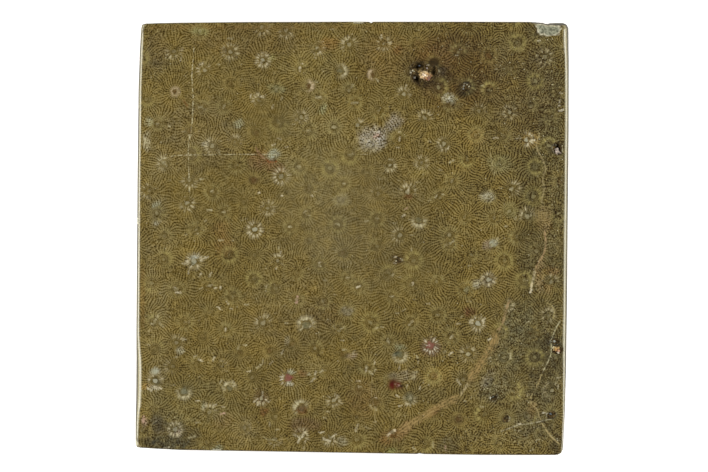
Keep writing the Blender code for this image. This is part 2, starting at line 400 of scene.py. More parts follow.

# %% [markdown]
# ## The coral
#
# Every corallite has a place and a look. Those that stand out are listed, in millimetres from the
# slab's middle, with a kind and, for some, the side that the ring of pale petals is brightest on,
# in degrees. The rest of the colony fills the gaps between them: darts are thrown at random and
# kept where they land far enough from every neighbour, about the spacing that this coral keeps.

# %% Place the corallites
CORALLITES = [
    (-52.4, 54.8, "star", -90), (-43.4, 49.2, "star", 130), (-51.9, 43, "rust"),
    (-44.6, 60.8, "plain"), (-35.8, 54.8, "star"), (-35.5, 45.4, "brown"),
    (-44, 38.4, "plain", 60), (-57.1, 33.6, "plain"), (-37.5, 38.6, "plain"),
    (-26.2, 52.2, "bold"), (-19.4, 61, "star", -75), (-10.2, 56, "star", -70),
    (-0.9, 56.7, "star", 120), (-15.4, 49.6, "plain", 70), (-3.6, 49, "crescent", 0),
    (-12.9, 44.7, "rust", 0), (-22.3, 43.9, "plain"), (-9.7, 41.3, "plain"),
    (-27.5, 40.5, "star", 120), (-1, 43.5, "plain", 90), (-15, 35.5, "star"),
    (-5.4, 32.6, "plain"), (9.2, 57, "star"), (6, 48, "rust", 180), (15, 42.2, "star", 80),
    (0.8, 39.7, "plain"), (29, 39.6, "plain"), (31, 54.5, "plain", 90), (21.2, 35.3, "star", 90),
    (40, 53.5, "brown"), (48.4, 57.4, "yellow"), (56.4, 53.2, "star"), (53.5, 46, "yellow"),
    (40.2, 43.5, "yellow", 120), (58, 35.5, "plain"), (46, 37, "star"), (33.5, 44.6, "plain", 20),
    (25.3, 44.3, "yellow", 0), (-41, 27, "star", 160), (-55, 22, "star", 150),
    (-48.5, 10.4, "star", -60), (-41, 13.5, "plain"), (-57.3, 7.3, "plain"), (-37.7, 7.7, "plain"),
    (-33.8, 21.5, "plain"), (-46, 2.5, "plain"), (-23.2, 24.3, "plain"), (-20.8, 18.2, "bold"),
    (-29, 17, "brown"), (-24.8, 8.9, "star"), (-28.6, 2.6, "bold"), (-18.2, 3.4, "plain"),
    (-13.5, 7.2, "plain"), (-6.5, 20.5, "yellow"), (-2.4, 16.1, "plain"), (-15.5, 21, "plain"),
    (-3.3, 11.3, "plain"), (-12.9, 31.6, "plain"), (-4.3, 4.1, "plain"), (5.3, 27.2, "star"),
    (13.5, 29, "plain", 90), (27, 27.7, "star", 200), (20.3, 22.2, "star"),
    (11, 21.5, "star", -60), (16.4, 13.6, "star", 90), (29.2, 16.9, "plain"),
    (25.7, 12, "plain", 120), (19.5, 5.3, "crescent", -90), (7.3, 5.8, "plain"),
    (28.5, 1, "plain"), (36.1, 30.4, "yellow"), (51, 29, "bold", 0), (43, 22, "plain"),
    (53.5, 20.9, "yellow"), (53, 12.3, "yellow"), (40, 12.2, "plain"), (46, 8, "plain", 60),
    (51.2, 6.5, "star", 100), (41.6, 6, "plain"), (-55.3, -6.2, "yellow", 20),
    (-46.3, -6.6, "bold"), (-36, -4.8, "yellow"), (-51.5, -15, "plain"), (-42, -14, "plain", 60),
    (-35, -16.9, "plain"), (-58, -24.5, "plain", 100), (-49, -24.5, "plain"),
    (-37.1, -26.8, "plain"), (-22, -6.7, "star", 80), (-28.9, -11.8, "yellow"),
    (-9.6, -7.6, "plain"), (-16.2, -17.9, "plain"), (-13.5, -25.5, "crescent", 100),
    (-1.5, -21.3, "plain"), (-1.4, -11.5, "plain"), (-4, -27, "plain", 60), (17.9, -6.5, "yellow"),
    (28.5, -1.5, "plain"), (1.8, -14.1, "plain"), (11.5, -17, "plain"), (5.3, -24.6, "yellow"),
    (17.2, -24.7, "plain"), (25, -22.4, "plain"), (22.9, -31.4, "rose"), (10.6, -30, "plain"),
    (29, -28.8, "plain"), (41, -2, "plain"), (44.5, -6.5, "yellow"), (39.9, -12.1, "bold"),
    (33.2, -15, "plain"), (36.8, -25, "bold"), (50.3, -12.2, "yellow"), (57.5, -22.5, "star"),
    (-57.7, -41.7, "bold", 100), (-49.3, -44.8, "crescent", -90), (-42, -50.8, "star", 90),
    (-36, -44, "crescent", 100), (-51.8, -56, "bold"), (-26.7, -46.8, "star", -90),
    (-18.8, -40.8, "rose", 200), (-15, -49.8, "crescent", 120), (-5.5, -47.5, "star"),
    (-6.5, -58.3, "star", -90), (-15, -58, "star", 60), (14, -34.2, "crescent", -80),
    (23.7, -40.5, "yellow"), (16.8, -47, "star", -90), (1.4, -59, "yellow", -60),
    (21.3, -60.2, "yellow", -20), (4.1, -37.5, "plain"), (31.1, -53, "brown"), (34, -33.8, "star"),
    (40.3, -35, "plain"), (44.5, -34.8, "plain", 0), (53.5, -34.8, "yellow"),
    (47, -44.5, "yellow", -20), (38.8, -51.5, "yellow", 170), (45, -52.6, "plain"),
    (58.3, -51.5, "plain"), (23.8, 51.6, "brown"),
]
SPACING = 6.6
REACH = 68.0
DART_SEED = 11
DARTS = 30000

dart = np.random.default_rng(DART_SEED)
hearts = [entry[:2] for entry in CORALLITES]
for throw in range(DARTS):
    spot = dart.uniform(-REACH, REACH, 2)
    gaps = np.hypot(*(np.array(hearts) - spot).T)
    if gaps.min() > SPACING:
        hearts.append(tuple(spot))
hearts = np.array(hearts)
print(len(CORALLITES), "corallites placed by hand,", len(hearts), "in all")

# %% [markdown]
# The septa run outward from each heart and bend round to meet those of the neighbours. At any
# point the plates follow the mean of the directions to the hearts around it, with the nearest
# counting most. A plate has no front or back, so the directions are averaged as doubled angles:
# two opposite ones then count as the same. Between the hearts the plates also wander, in curves
# some millimetres wide.

# %% Work out which way the septa run
STEP = 0.32
NEAREST_COUNTS = 5.0
FAR_HEART = 14.0
LEAST_GAP = 0.001
SEPTA_GAP = 0.70
RING_RADIUS = 2.3
RING_END = 1.7 * RING_RADIUS
SEPTA_IN_RING = (21, 28)
WANDER_SIZE = 5.0
WANDER_HEIGHT = 0.5
WANDER_TURN = 1.2
GAP_CHANGE = 0.2


def keep_nearer(gap, least_gap, *kept):
    """Where a gap is the least so far, keep it, and in each array the value that goes with it."""
    nearer = gap < least_gap
    least_gap[nearer] = gap[nearer]
    for array, value in kept:
        array[nearer] = value[nearer] if np.ndim(value) else value


count = int(2 * REACH / STEP)
ticks = (np.arange(count) - count / 2 + 0.5) * STEP
lattice = ticks[None, :] + 1j * ticks[:, None]
doubled = np.zeros_like(lattice)
heart_gap = np.full(lattice.shape, np.inf)
heart_number = np.zeros(lattice.shape, int)
for number, (x, y) in enumerate(hearts):
    away = lattice - (x + 1j * y)
    gap = np.maximum(np.abs(away), LEAST_GAP)
    close = gap < FAR_HEART
    doubled[close] += (away[close] / gap[close]) ** 2 * gap[close] ** -NEAREST_COUNTS
    keep_nearer(gap, heart_gap, (heart_number, number))


def lattice_noise(size, height):
    """Smooth random vectors on the lattice, as complex numbers about 0, with lumps of one size."""
    places = [Vector((spot.real / size, spot.imag / size, height)) for spot in lattice.ravel()]
    vectors = np.array([noise.noise_vector(place)[:2] for place in places])
    return (vectors[:, 0] + 1j * vectors[:, 1]).reshape(lattice.shape)


def smooth(value, low, high):
    """A soft step from 0 at the low value to 1 at the high one."""
    share = np.clip((value - low) / (high - low), 0, 1)
    return share * share * (3 - 2 * share)


outside_ring = smooth(heart_gap, RING_RADIUS, RING_END)
wander = lattice_noise(WANDER_SIZE, WANDER_HEIGHT)
septa_direction = np.exp(1j * (np.angle(doubled) / 2 + wander.real * WANDER_TURN * outside_ring))
septa_gap = SEPTA_GAP * (1 + wander.imag * GAP_CHANGE * outside_ring)
septa_count = dart.integers(*SEPTA_IN_RING, len(hearts), endpoint=True)
first_septum = dart.uniform(0, 2 * np.pi, len(hearts))
print(f"lattice of {count} x {count} points")

# %% [markdown]
# The plates themselves are stripes across that direction. Each heart has long and short plates in
# turn, 21 to 28 in all. Each lattice point holds a phase, a turning number that passes through one
# full turn from one septum to the next. Inside a ring of petals the phase is known: it goes round
# the heart a whole number of times. From there it is grown outward by averaging each point with
# its neighbours, allowing for the stripes between them. Where the space widens the growth has to
# start a new stripe, just as the coral puts in a new septum.

# %% Grow the septa outward from the hearts
GROWTH_STEPS = 56
SETTLED = 0.8
DIAGONAL_WEIGHT = 0.7
KEEP = 0.5
TINY = 1e-9

heart_at = (hearts[:, 0] + 1j * hearts[:, 1])[heart_number]
bearing = np.angle(lattice - heart_at)
in_ring = heart_gap < RING_RADIUS
around_heart = 1j * np.exp(1j * bearing) * septa_count[heart_number] / np.maximum(heart_gap, STEP)
density = np.maximum(2 * np.pi / septa_gap, np.abs(around_heart))
stripes = np.where(in_ring, around_heart, 1j * septa_direction * density)
ring_phase = np.exp(1j * (septa_count[heart_number] * bearing + first_septum[heart_number]))
links = []
for down, right in [(0, 1), (0, -1), (1, 0), (-1, 0), (1, 1), (-1, -1), (1, -1), (-1, 1)]:
    other = np.roll(stripes, (-down, -right), (0, 1))
    agree = np.real(other * np.conj(stripes))
    same_way = agree >= 0
    between = (stripes + np.where(same_way, other, -other)) / 2
    travel = -(right + 1j * down) * STEP
    weight = (agree / (np.abs(other) * np.abs(stripes))) ** 2
    weight *= 1.0 if down == 0 or right == 0 else DIAGONAL_WEIGHT
    links.append((down, right, same_way, weight * np.exp(1j * np.real(np.conj(between) * travel))))
wave = np.where(in_ring, ring_phase, 0)
for turn in range(GROWTH_STEPS):
    grown = KEEP * wave
    for down, right, same_way, shift in links:
        other = np.roll(wave, (-down, -right), (0, 1))
        grown = grown + np.where(same_way, other, np.conj(other)) * shift
    size = np.maximum(np.abs(grown), TINY)
    wave = np.where(in_ring, ring_phase, grown / size * np.minimum(1.0, size / SETTLED))
print(f"{np.mean(np.abs(wave) > 0.5):.0%} of the lattice has settled septa")

# %% [markdown]
# Grown like this, the septa are as even as combed hair. Real plates waver, so each spot of the
# pattern is pushed aside a little, by smooth noise of two sizes. A push along a plate changes
# nothing, and one across it shifts its phase.

# %% Let the septa waver
WAVER = [(2.0, 0.24), (0.9, 0.12)]
WAVER_HEIGHT = 3.7

push = sum(lattice_noise(size, WAVER_HEIGHT * size) * amount for size, amount in WAVER)
push = push * outside_ring
wave = wave * np.exp(1j * np.real(np.conj(stripes) * push))
print(f"pushed by up to {np.abs(push).max():.2f} mm")

# %% [markdown]
# ## Carry the pattern to the skin
#
# The skin's points are too far apart to hold a septum every 0.7 mm as colour, but they can hold
# the phase, which changes evenly, and the material then draws the plates as sharply as the render
# asks. Each face keeps its nearest heart. The material counts the septa round that heart
# exactly, and the corners only store how far the true phase is from that count.
#
# Corallites lean a little as they grow, so a point's place in the pattern shifts with its depth
# below the face. This slants the plates on the sides and moves them on the back.

# %% Measure the skin's corners in the pattern
LEAN = np.array((0.13, -0.09))


def read(items, field, width, kind=np.float64):
    values = np.zeros(len(items) * width, kind)
    items.foreach_get(field, values)
    return values.reshape(-1, width) if width > 1 else values


points = read(slab_mesh.vertices, "co", 3) / MM
corner_point = read(slab_mesh.loops, "vertex_index", 1, np.int32)
face_size = read(slab_mesh.polygons, "loop_total", 1, np.int32)
face_centre = read(slab_mesh.polygons, "center", 3) / MM
corner_face = np.repeat(np.arange(len(face_size)), face_size)


def in_pattern(place):
    """Where a place in the stone falls in the pattern, as one complex number."""
    depth = THICKNESS / MM - place[:, 2]
    return place[:, 0] + LEAN[0] * depth + 1j * (place[:, 1] + LEAN[1] * depth)


def lattice_spot(spot):
    along = np.clip(np.round((spot.real - ticks[0]) / STEP).astype(int), 0, count - 1)
    up = np.clip(np.round((spot.imag - ticks[0]) / STEP).astype(int), 0, count - 1)
    return up, along


def phase_at(spot, reference):
    """The septa's phase and stripe direction at a spot, both turned to agree with a reference."""
    nearest = lattice_spot(spot)
    stripe = stripes[nearest]
    phase = np.angle(wave[nearest]) + np.real(np.conj(stripe) * (spot - lattice[nearest]))
    flip = np.where(np.real(stripe * np.conj(reference)) >= 0, 1, -1)
    return flip * phase, flip * stripe


face_spot = in_pattern(face_centre)
corner_spot = in_pattern(points[corner_point])
face_heart = heart_number[lattice_spot(face_spot)]
heart_point = hearts[:, 0] + 1j * hearts[:, 1]
print(len(corner_spot), "corners on", len(face_size), "faces")

# %% [markdown]
# A phase is only known up to whole turns. For each corner the turn is chosen that fits best with
# the phase at the middle of its face, so that the value can be blended evenly across the face.

# %% Store the hearts and the leftover phase
ATTRIBUTE_KINDS = {
    1: ("FLOAT", "value"), 3: ("FLOAT_VECTOR", "vector"), 4: ("FLOAT_COLOR", "color"),
}


def store(name, values, domain="CORNER"):
    """Store a number, a vector or a colour with its alpha for every corner or point."""
    values = np.asarray(values, np.float32)
    kind, field = ATTRIBUTE_KINDS[values.shape[1] if values.ndim > 1 else 1]
    slab_mesh.attributes.new(name, kind, domain).data.foreach_set(field, values.ravel())


def wrap(angle):
    return (angle + np.pi) % (2 * np.pi) - np.pi


face_away = face_spot - heart_point[face_heart]
corner_away = corner_spot - heart_point[face_heart[corner_face]]
corner_count = septa_count[face_heart][corner_face]
face_phase, face_stripe = phase_at(face_spot, 1j * face_away)
corner_phase, corner_stripe = phase_at(corner_spot, face_stripe[corner_face])
bend = (face_stripe[corner_face] + corner_stripe) / 2
travel = corner_spot - face_spot[corner_face]
expected = face_phase[corner_face] + np.real(np.conj(bend) * travel)
expected -= corner_count * np.angle(face_away)[corner_face]
expected -= corner_count * wrap(np.angle(corner_away) - np.angle(face_away)[corner_face])
leftover = corner_phase - corner_count * np.angle(corner_away)
leftover = expected + wrap(leftover - expected)
own_ring = np.abs(corner_away) < RING_RADIUS
exact = first_septum[face_heart][corner_face]
leftover = np.where(own_ring, expected + wrap(exact - expected), leftover)
inner_face = np.abs(face_away)[corner_face] < RING_RADIUS / 2
leftover = np.where(inner_face, exact, leftover)
corner_heart = heart_point[face_heart][corner_face]
store("heart", np.c_[corner_heart.real, corner_heart.imag, corner_count])
store("septa_phase", leftover)
print(f"leftover phase spans {leftover.min():.1f} to {leftover.max():.1f}")

# %% [markdown]
# The middle of a corallite is what the eye finds first. Calcite filled the space where the plates
# met, so there is a ring of pale, petal-like spots, often brighter on one side, and a small pale
# or dark spot in the very middle. Each kind of corallite gets its ring's colour and strength, how
# much the ring closes into a band instead of petals, how far out it lies, and its spot's colour,
# strength and radius. Corallites that were not listed fade into the pattern more.

# %% Give each corallite its ring and middle
def colour(hex_code):
    """An sRGB hex colour as the linear values that Blender works with."""
    parts = [int(hex_code[place:place + 2], 16) / 255 for place in (0, 2, 4)]
    return [part / 12.92 if part <= 0.04045 else ((part + 0.055) / 1.055) ** 2.4 for part in parts]


# kind: (ring colour, strength, closed share, radius), (middle colour, strength, radius)
RING_KINDS = {
    "plain": (("978c5a", 0.58, 0.3, 1.9), ("968d68", 0.50, 0.40)),
    "star": (("b3a884", 0.74, 0.1, 1.8), ("a39c7c", 0.65, 0.50)),
    "bold": (("bfb594", 0.95, 0.2, 1.9), ("a3a088", 0.80, 0.65)),
    "crescent": (("bbb28e", 0.90, 0.5, 1.9), ("77765a", 0.50, 0.90)),
    "yellow": (("a1955a", 0.68, 0.5, 2.1), ("928a62", 0.50, 0.45)),
    "brown": (("94834e", 0.58, 0.4, 1.9), ("5f4524", 0.50, 0.70)),
    "rust": (("c0ac8c", 0.85, 0.5, 1.25), ("4e2814", 0.85, 0.65)),
    "rose": (("c9c0a8", 1.00, 0.1, 2.1), ("84524a", 0.85, 1.20)),
}
WILD_KINDS = ["plain"] * 4 + ["star", "yellow", "brown"]
FACING_SHARE = 1.4
FACING_STRENGTH = 0.65
FADED = (0.3, 1.0)
SIZE_SPREAD = (0.85, 1.1)
MIDDLE_SPREAD = (0.35, 1.15)
GOLDEN = 0.618

wild = len(hearts) - len(CORALLITES)
kinds = [entry[2] for entry in CORALLITES]
kinds += [WILD_KINDS[pick] for pick in dart.integers(0, len(WILD_KINDS), wild)]
facings = [entry[3] if len(entry) > 3 else None for entry in CORALLITES]
facings += list(dart.uniform(0, 360, wild))
rings, ring_paint, middles, middle_paint = [], [], [], []
for number, (kind, facing) in enumerate(zip(kinds, facings)):
    ring_look, middle_look = RING_KINDS[kind]
    ring_hex, strength, closed, radius = ring_look
    middle_hex, middle_strength, middle_radius = middle_look
    fade = 1.0 if number < len(CORALLITES) else dart.uniform(*FADED)
    size = dart.uniform(*SIZE_SPREAD)
    lobe = 0.0 if facing is None else FACING_SHARE
    turn = math.radians(facing or 0)
    strength *= 1.0 if facing is None else FACING_STRENGTH
    middle_strength *= fade * np.interp(number * GOLDEN % 1, (0, 1), MIDDLE_SPREAD)
    rings.append((strength * fade, lobe * math.cos(turn), lobe * math.sin(turn)))
    ring_paint.append((*colour(ring_hex), closed))
    middles.append((radius * size, middle_radius * size, middle_strength))
    middle_paint.append((*colour(middle_hex), 1))
own_heart = face_heart[corner_face]
looks = {"ring": rings, "ring_paint": ring_paint, "middle": middles, "middle_paint": middle_paint}
for name, values in looks.items():
    store(name, np.array(values)[own_heart])
print({kind: kinds.count(kind) for kind in RING_KINDS})

# %% [markdown]
# ## Calcite grains
#
# Between the corallites lie single grains and short blades of calcite, each a bright fleck. They
# are listed, grouped by colour, as a centre and, where they differ from the usual, half a length
# and the way the blade points in degrees. A fleck is smaller than a face of the skin, so it can't
# be stored as paint. Instead each face remembers the fleck nearest to it, and the material draws
# it at its full sharpness.

# %% List the grains
GRAINS = {
    "d0c6a6": [
        (-49.9, 55.4, 0.4, 90), (-50.2, 52.6, 0.4, 70), (-44.4, 51, 0.5, 40), (-45.3, 49.8, 0.3),
        (-48.1, 24.4), (-26.9, 51, 0.6, 60), (-15.4, 49.6, 0.5, 90), (-14.9, 51.2, 0.3),
        (-26.4, 41.5, 0.5, 20), (-29.8, 41.8, 0.4, 80), (-23.3, 38.6, 0.5, 70),
        (8.6, 59.2, 0.4, 100), (11, 57.5, 0.4, 10), (15.6, 44.3, 0.5, 60), (27, 41.5, 0.6, 30),
        (30.6, 53.6, 0.3), (31.7, 55.3, 0.3), (50.1, 51.2, 0.3), (54.7, 57.9, 0.3),
        (-23, 27.5, 0.5, 20), (-21.3, 29.2, 0.5, 160), (-19.3, 26.8, 0.3), (-27.4, 13.3, 0.3),
        (-20.7, 12.5, 0.3), (-11.9, 12.5, 0.3), (16.4, 14.3, 0.5, 80), (15.1, 6.7, 0.5, 30),
        (13.9, 29.2, 0.4, 90), (13.9, 31.2, 0.3), (13.3, 26.7, 0.3), (28.1, 26.6, 0.4, 60),
        (25.8, 27, 0.5, 120), (48.7, 29.3, 0.6, 10), (52.7, 28.7, 0.6), (51.3, 27.4, 0.5, 80),
        (42, 29.4, 0.6), (-43.3, -5.8, 0.9, 20), (-48.2, -6.6, 0.6, 20), (-49, -7.4, 0.6),
        (-44.5, -10.6, 0.6, 70), (-48, -10, 0.4, 90), (-41.6, -10.6, 0.6, 70), (-51, -15.8, 0.7),
        (-40.2, -14.5), (-38.6, -14.5, 0.4, 90), (-52.1, -14.4), (-39.1, -20.4, 0.6, 140),
        (-35.4, -20.6), (-36.6, -18.8, 0.5, 120), (-37.1, -26.8, 0.4, 90), (-49.1, -29.6),
        (-25.1, -13.8, 0.4, 60), (-21.2, -4.5, 0.6, 80), (-22.2, -8.7, 0.4, 60), (-9.6, -7.1, 0.3),
        (-12, -25.4, 0.7, 50), (-13, -23.7), (-10.4, -27.8, 0.3), (1.8, -14.1, 0.5, 30),
        (17.7, -13.4, 0.4, 100), (22.2, -19.1), (29, -28.8, 0.6, 50), (31, -25),
        (-57, -43.8, 0.9, 170), (-59.4, -44.2, 0.7, 150), (-56, -41.3, 0.5, 20),
        (-45.2, -47.6, 0.5), (-44.5, -35.6, 0.7, 150), (-40.3, -48.9, 0.5, 20),
        (-37.9, -49.4, 0.5, 160), (-40.6, -35.2, 0.5, 60), (-45.3, -53.9, 0.5),
        (-54.5, -61.3, 0.6, 20), (-20.6, -33.5, 0.6, 70), (-23.8, -36.5, 0.5, 40), (-30.3, -39),
        (-11.4, -41.4, 0.7, 40), (-10.8, -39.5, 0.5, 80), (-28.2, -47.5, 0.6, 30),
        (-27.5, -48.4, 0.5, 60), (-25, -47.6, 0.5, 140), (-26.3, -45.5, 0.5, 80),
        (-4.7, -46.5, 0.6, 60), (-3.4, -48.1, 0.5, 150), (-24.2, -54.3, 0.5, 90),
        (-14.4, -57.5, 0.8, 60), (-15.6, -59, 0.7, 70), (-16.5, -57.8, 0.5, 150),
        (-13.8, -59.8, 0.4, 100), (-8.9, -56.8, 0.5, 20), (-5.4, -57.8, 0.6, 40),
        (-7.4, -59.1, 0.9, 160), (-5.3, -58.9, 0.5, 90), (4.1, -38.4, 0.6, 90),
        (6.5, -36.4, 0.45, 90), (1.8, -41.8), (19.3, -36.2, 0.35, 90), (13.8, -37.8, 0.45, 90),
        (19.8, -43.8, 0.35, 90), (16, -43.3, 0.4, 90), (14, -49.1, 0.45, 20),
        (13.2, -46.2, 0.5, 140), (6.7, -46.6, 0.3), (6.7, -53.8, 0.3), (1.3, -55.5, 0.9, 70),
        (27, -33.2, 0.45, 60), (28.8, -33.8, 0.6, 40), (31.2, -42, 0.8, 120), (38, -49.3),
        (45.3, -53.4), (48.9, -54.4, 0.5), (60.3, -43.4, 0.4, 90), (60.5, -40.8),
        (51.7, -45.9, 0.3), (34.6, -24.3, 0.5, 60), (38.3, -23.9, 0.6, 40), (40.3, -29.5, 0.5, 30),
        (12.5, -7.3, 0.35), (12.6, -5.4, 0.35),
    ],
    "b6ad88": [
        (-44.6, 38.4, 0.3), (-43.2, 37.8, 0.3), (-37.5, 38.6, 0.4, 60), (-57.1, 33.6),
        (-53.6, 32.9, 0.3), (-49.2, 47.7, 0.3), (-39.2, 51, 0.3), (-35.8, 58.6, 0.7),
        (-33.6, 54.1, 0.3), (-36.7, 53.4, 0.3), (-10.8, 53.2, 0.4, 100), (-9.5, 57.7, 0.3),
        (-2, 58.3, 0.5, 120), (-10.6, 45.8, 0.3), (-9.7, 41.3, 0.8), (-20.7, 41, 0.4, 70),
        (-0.1, 44.5, 0.5, 60), (-17.2, 33.4, 0.3), (-5.4, 32.6), (-5.9, 61.3),
        (7.3, 46.3, 0.5, 130), (0.8, 39.7, 0.8), (21.1, 37.3, 0.4, 90), (38.1, 44.8, 0.3),
        (42.2, 49.6, 0.3), (44.7, 36.2, 0.3), (47.5, 36.2, 0.3), (-49.4, 31.3), (-47.5, 30.3),
        (-42.1, 29.2, 0.4, 30), (-38.7, 28.6), (-39.1, 25.4, 0.6, 90), (-55.5, 22.4, 0.5, 140),
        (-54.6, 21.6, 0.4, 120), (-44.1, 17.4), (-40.9, 14.1, 0.5, 40), (-45.8, 15.1),
        (-57.5, 14.6), (-41.8, 8.3, 0.6), (-37.7, 7.7), (-43.1, 5.2, 0.5, 30), (-32.3, 5.3, 0.3),
        (-45.6, 1.3), (-48.8, 1.1, 0.3), (-11, 13.7, 0.3), (-24.5, 10.5, 0.3, 90),
        (-25, 7.3, 0.4, 90), (-31.1, 5.7, 0.3), (-27.4, 2.2, 0.4, 90), (-18.2, 3.4),
        (-4.3, 4.1, 0.5, 160), (-13.9, 7.8, 0.4, 40), (-12.6, 6.7, 0.3), (-2.4, 16.1), (-15.5, 21),
        (-12.9, 31.6, 0.6), (1.8, 26.1, 0.4, 40), (22.6, 28.4), (11.3, 23.2, 0.5),
        (12, 20.5, 0.4, 70), (10.3, 20, 0.4, 110), (8.3, 17.3, 0.3), (13.6, 17, 0.3),
        (29.2, 16.9, 0.5, 60), (26.7, 12.8), (24.6, 12.3, 0.4, 60), (22.6, 11.1, 0.4, 20),
        (7.3, 5.8), (4.3, 5.1), (12.5, 4.5), (17.6, 1), (28.5, 1), (29, 22.6, 0.7, 30), (25.7, 20),
        (18.9, 16.4), (43.4, 14.9), (37.4, 12.5), (49.7, 7.1, 0.4, 90), (52.4, 7, 0.4, 90),
        (45, 3.5), (47.8, 5.9, 0.4, 60), (-38.5, -0.5, 0.6), (-35.1, -0.6, 0.35),
        (-44.3, -14.6, 0.4, 20), (-41.7, -13.8, 0.7, 10), (-57.4, -23.4, 0.8, 60),
        (-56, -25.2, 0.8, 130), (-58.5, -25), (-59.4, -27, 0.4, 30), (-59.8, -31.1),
        (-48.1, -24.3, 0.35), (-33.3, -31.7, 0.6, 70), (-21.6, -2.9, 0.5, 90),
        (-25.4, -15, 0.4, 90), (-9.6, -8.1, 0.3), (-7.9, -12.3, 0.35), (-1.4, -11.5),
        (-30.9, -19.4, 0.5), (-14.8, -26.4, 0.6, 60), (-19.3, -24.8), (-3, -26.3, 0.5, 20),
        (-5.2, -26.1, 0.4, 120), (-5, -16.5), (-2.9, -29.9), (-31.4, -31.3), (29.3, -1, 0.5, 40),
        (27.5, -1.9), (17.3, -3.2, 0.4, 90), (11.9, -10.6, 0.4, 60), (13.8, -11.4), (11.5, -17),
        (15, -21, 0.4, 30), (13.1, -21.9), (7, -26.3, 0.5, 20), (8.7, -26), (17.2, -24.7, 0.7, 40),
        (25, -22.4), (32, -23, 0.4, 60), (10.5, -30, 0.6, 100), (42.2, -0.8, 0.8, 60),
        (36.3, -13.3, 0.6, 20), (34.5, -8), (34.2, -18.4, 0.5), (37.6, -25.8, 0.5, 150),
        (-46, -34.5, 0.5, 40), (-49.8, -33.3, 0.6, 20), (-51.8, -34.8), (-52.5, -43),
        (-38.5, -42, 0.6, 60), (-34.7, -42.2, 0.6, 120), (-47, -58.2, 0.9, 15),
        (-27.4, -37.5, 0.6, 40), (-26.3, -36, 0.7, 80), (-9, -38.9, 0.5, 30), (-12.8, -39.9),
        (-7.2, -50.8), (-8, -52.5), (-22, -55.9), (-14.2, -61.3, 0.4, 60), (-2.2, -32.7, 0.5),
        (0.3, -33.5, 0.6, 60), (6.7, -38.7, 0.4, 60), (5.5, -39.3, 0.6, 150), (2.2, -43.4),
        (19, -34.8, 0.5, 110), (18.3, -39.2, 0.6), (17.8, -40.8, 0.6, 40), (5.6, -49.4, 0.5, 130),
        (6.9, -49.9, 0.5, 110), (4.2, -55.4, 0.4, 160), (18.3, -61.7, 0.6, 130),
        (23.7, -60.3, 0.7, 90), (34, -33.8, 0.5), (35.5, -32.5, 0.4, 60), (40.3, -35, 0.5, 30),
        (46.3, -34.5, 0.8, 80), (34.5, -46.9, 0.6, 40), (33, -47.7), (54.5, -59),
        (52.5, -62, 0.5, 20), (49, -56.3), (59.7, -42.3, 0.5, 60),
    ],
    "c8a590": [
        (15.9, 8.8, 0.5, 30), (-38, -51.3, 0.5, 20), (12.7, -42.6, 0.3), (13.5, -43.1, 0.35, 30),
        (-61.2, -52.9, 0.7, 80), (7, 30, 0.6, 20), (-16.2, -17.9, 0.9, 80), (27.3, -61.4, 0.6, 90),
    ],
    "e4dcc4": [
        (17.6, 49, 0.5, 40), (22, 50.7, 0.45, 10), (22.2, -31.4), (55.2, 62.6, 0.4, 30),
        (57.6, 60.2, 0.35), (60.4, 62.3, 0.3), (-62.4, -48.3, 0.9, 90), (57.4, -51.4),
        (56.2, -51.1, 0.45, 20), (60.1, 25.7, 0.55, 10), (33.6, 45.2, 0.6, 170),
        (52.3, -15.5, 0.4, 60), (61.1, 42.5, 0.35), (60.8, 40.2, 0.4, 90), (60.7, 38.9, 0.3),
        (61.2, 37.5, 0.55, 20),
    ],
}
GRAIN_HALF_WIDTH = 0.10
GRAIN_FATNESS = 0.30
LEAST_LENGTH = 0.3
GRAIN_CLEARNESS = (0.35, 0.85)


def blade_of(x, y, half_length=0.4, turn=0):
    """A blade's centre, the way it points, and its half length and half width."""
    half_width = GRAIN_HALF_WIDTH + GRAIN_FATNESS * (half_length - LEAST_LENGTH)
    return x + 1j * y, np.exp(1j * math.radians(turn)), (half_length, half_width)


blades, grain_paint = [], []
for hex_code, listed in GRAINS.items():
    for entry in listed:
        blades.append(blade_of(*entry))
        grain_paint.append((*colour(hex_code), dart.uniform(*GRAIN_CLEARNESS)))
grain_centre, grain_axis, grain_shape = (np.array(values) for values in zip(*blades))
grain_paint = np.array(grain_paint)
print(len(blades), "grains")

# %% [markdown]
# The search for the nearest fleck measures to the blade's own line, not to its middle, so that a
# long blade is whole. Flecks are about as deep as they are wide and don't reach the back. The back
# gets a set of its own, which is the same list turned half round.

# %% Give every face its nearest grain
FLECK_DEPTH, BACK_FLECK_DEPTH = 2.5, 1.0


def blade_gap(spot, centre, axis, half_length):
    """How far a spot is from a blade's middle line, in millimetres."""
    along = np.real((spot - centre) * np.conj(axis))
    return np.abs(spot - centre - axis * np.clip(along, -half_length, half_length))


face_depth = THICKNESS / MM - face_centre[:, 2]
at_back = face_depth > THICKNESS / MM / 2
nearest_gap = np.full(len(face_spot), np.inf)
nearest_grain = np.zeros(len(face_spot), int)
for number, (centre, axis, shape) in enumerate(zip(grain_centre, grain_axis, grain_shape)):
    gap = blade_gap(np.where(at_back, -face_spot, face_spot), centre, axis, shape[0])
    keep_nearer(gap, nearest_gap, (nearest_grain, number))
chosen = nearest_grain[corner_face]
placed = grain_centre[chosen] * np.where(at_back[corner_face], -1, 1)
turned = grain_axis[chosen]
too_deep = (face_depth > FLECK_DEPTH) & (face_depth < THICKNESS / MM - BACK_FLECK_DEPTH)
width = np.where(too_deep[corner_face], 0.0, grain_shape[chosen, 1])
store("grain_place", np.c_[placed.real, placed.imag, grain_shape[chosen, 0]])
store("grain_way", np.c_[turned.real, turned.imag, width])
store("grain_paint", grain_paint[chosen])
print(np.count_nonzero(nearest_gap < 1), "faces within 1 mm of a grain")
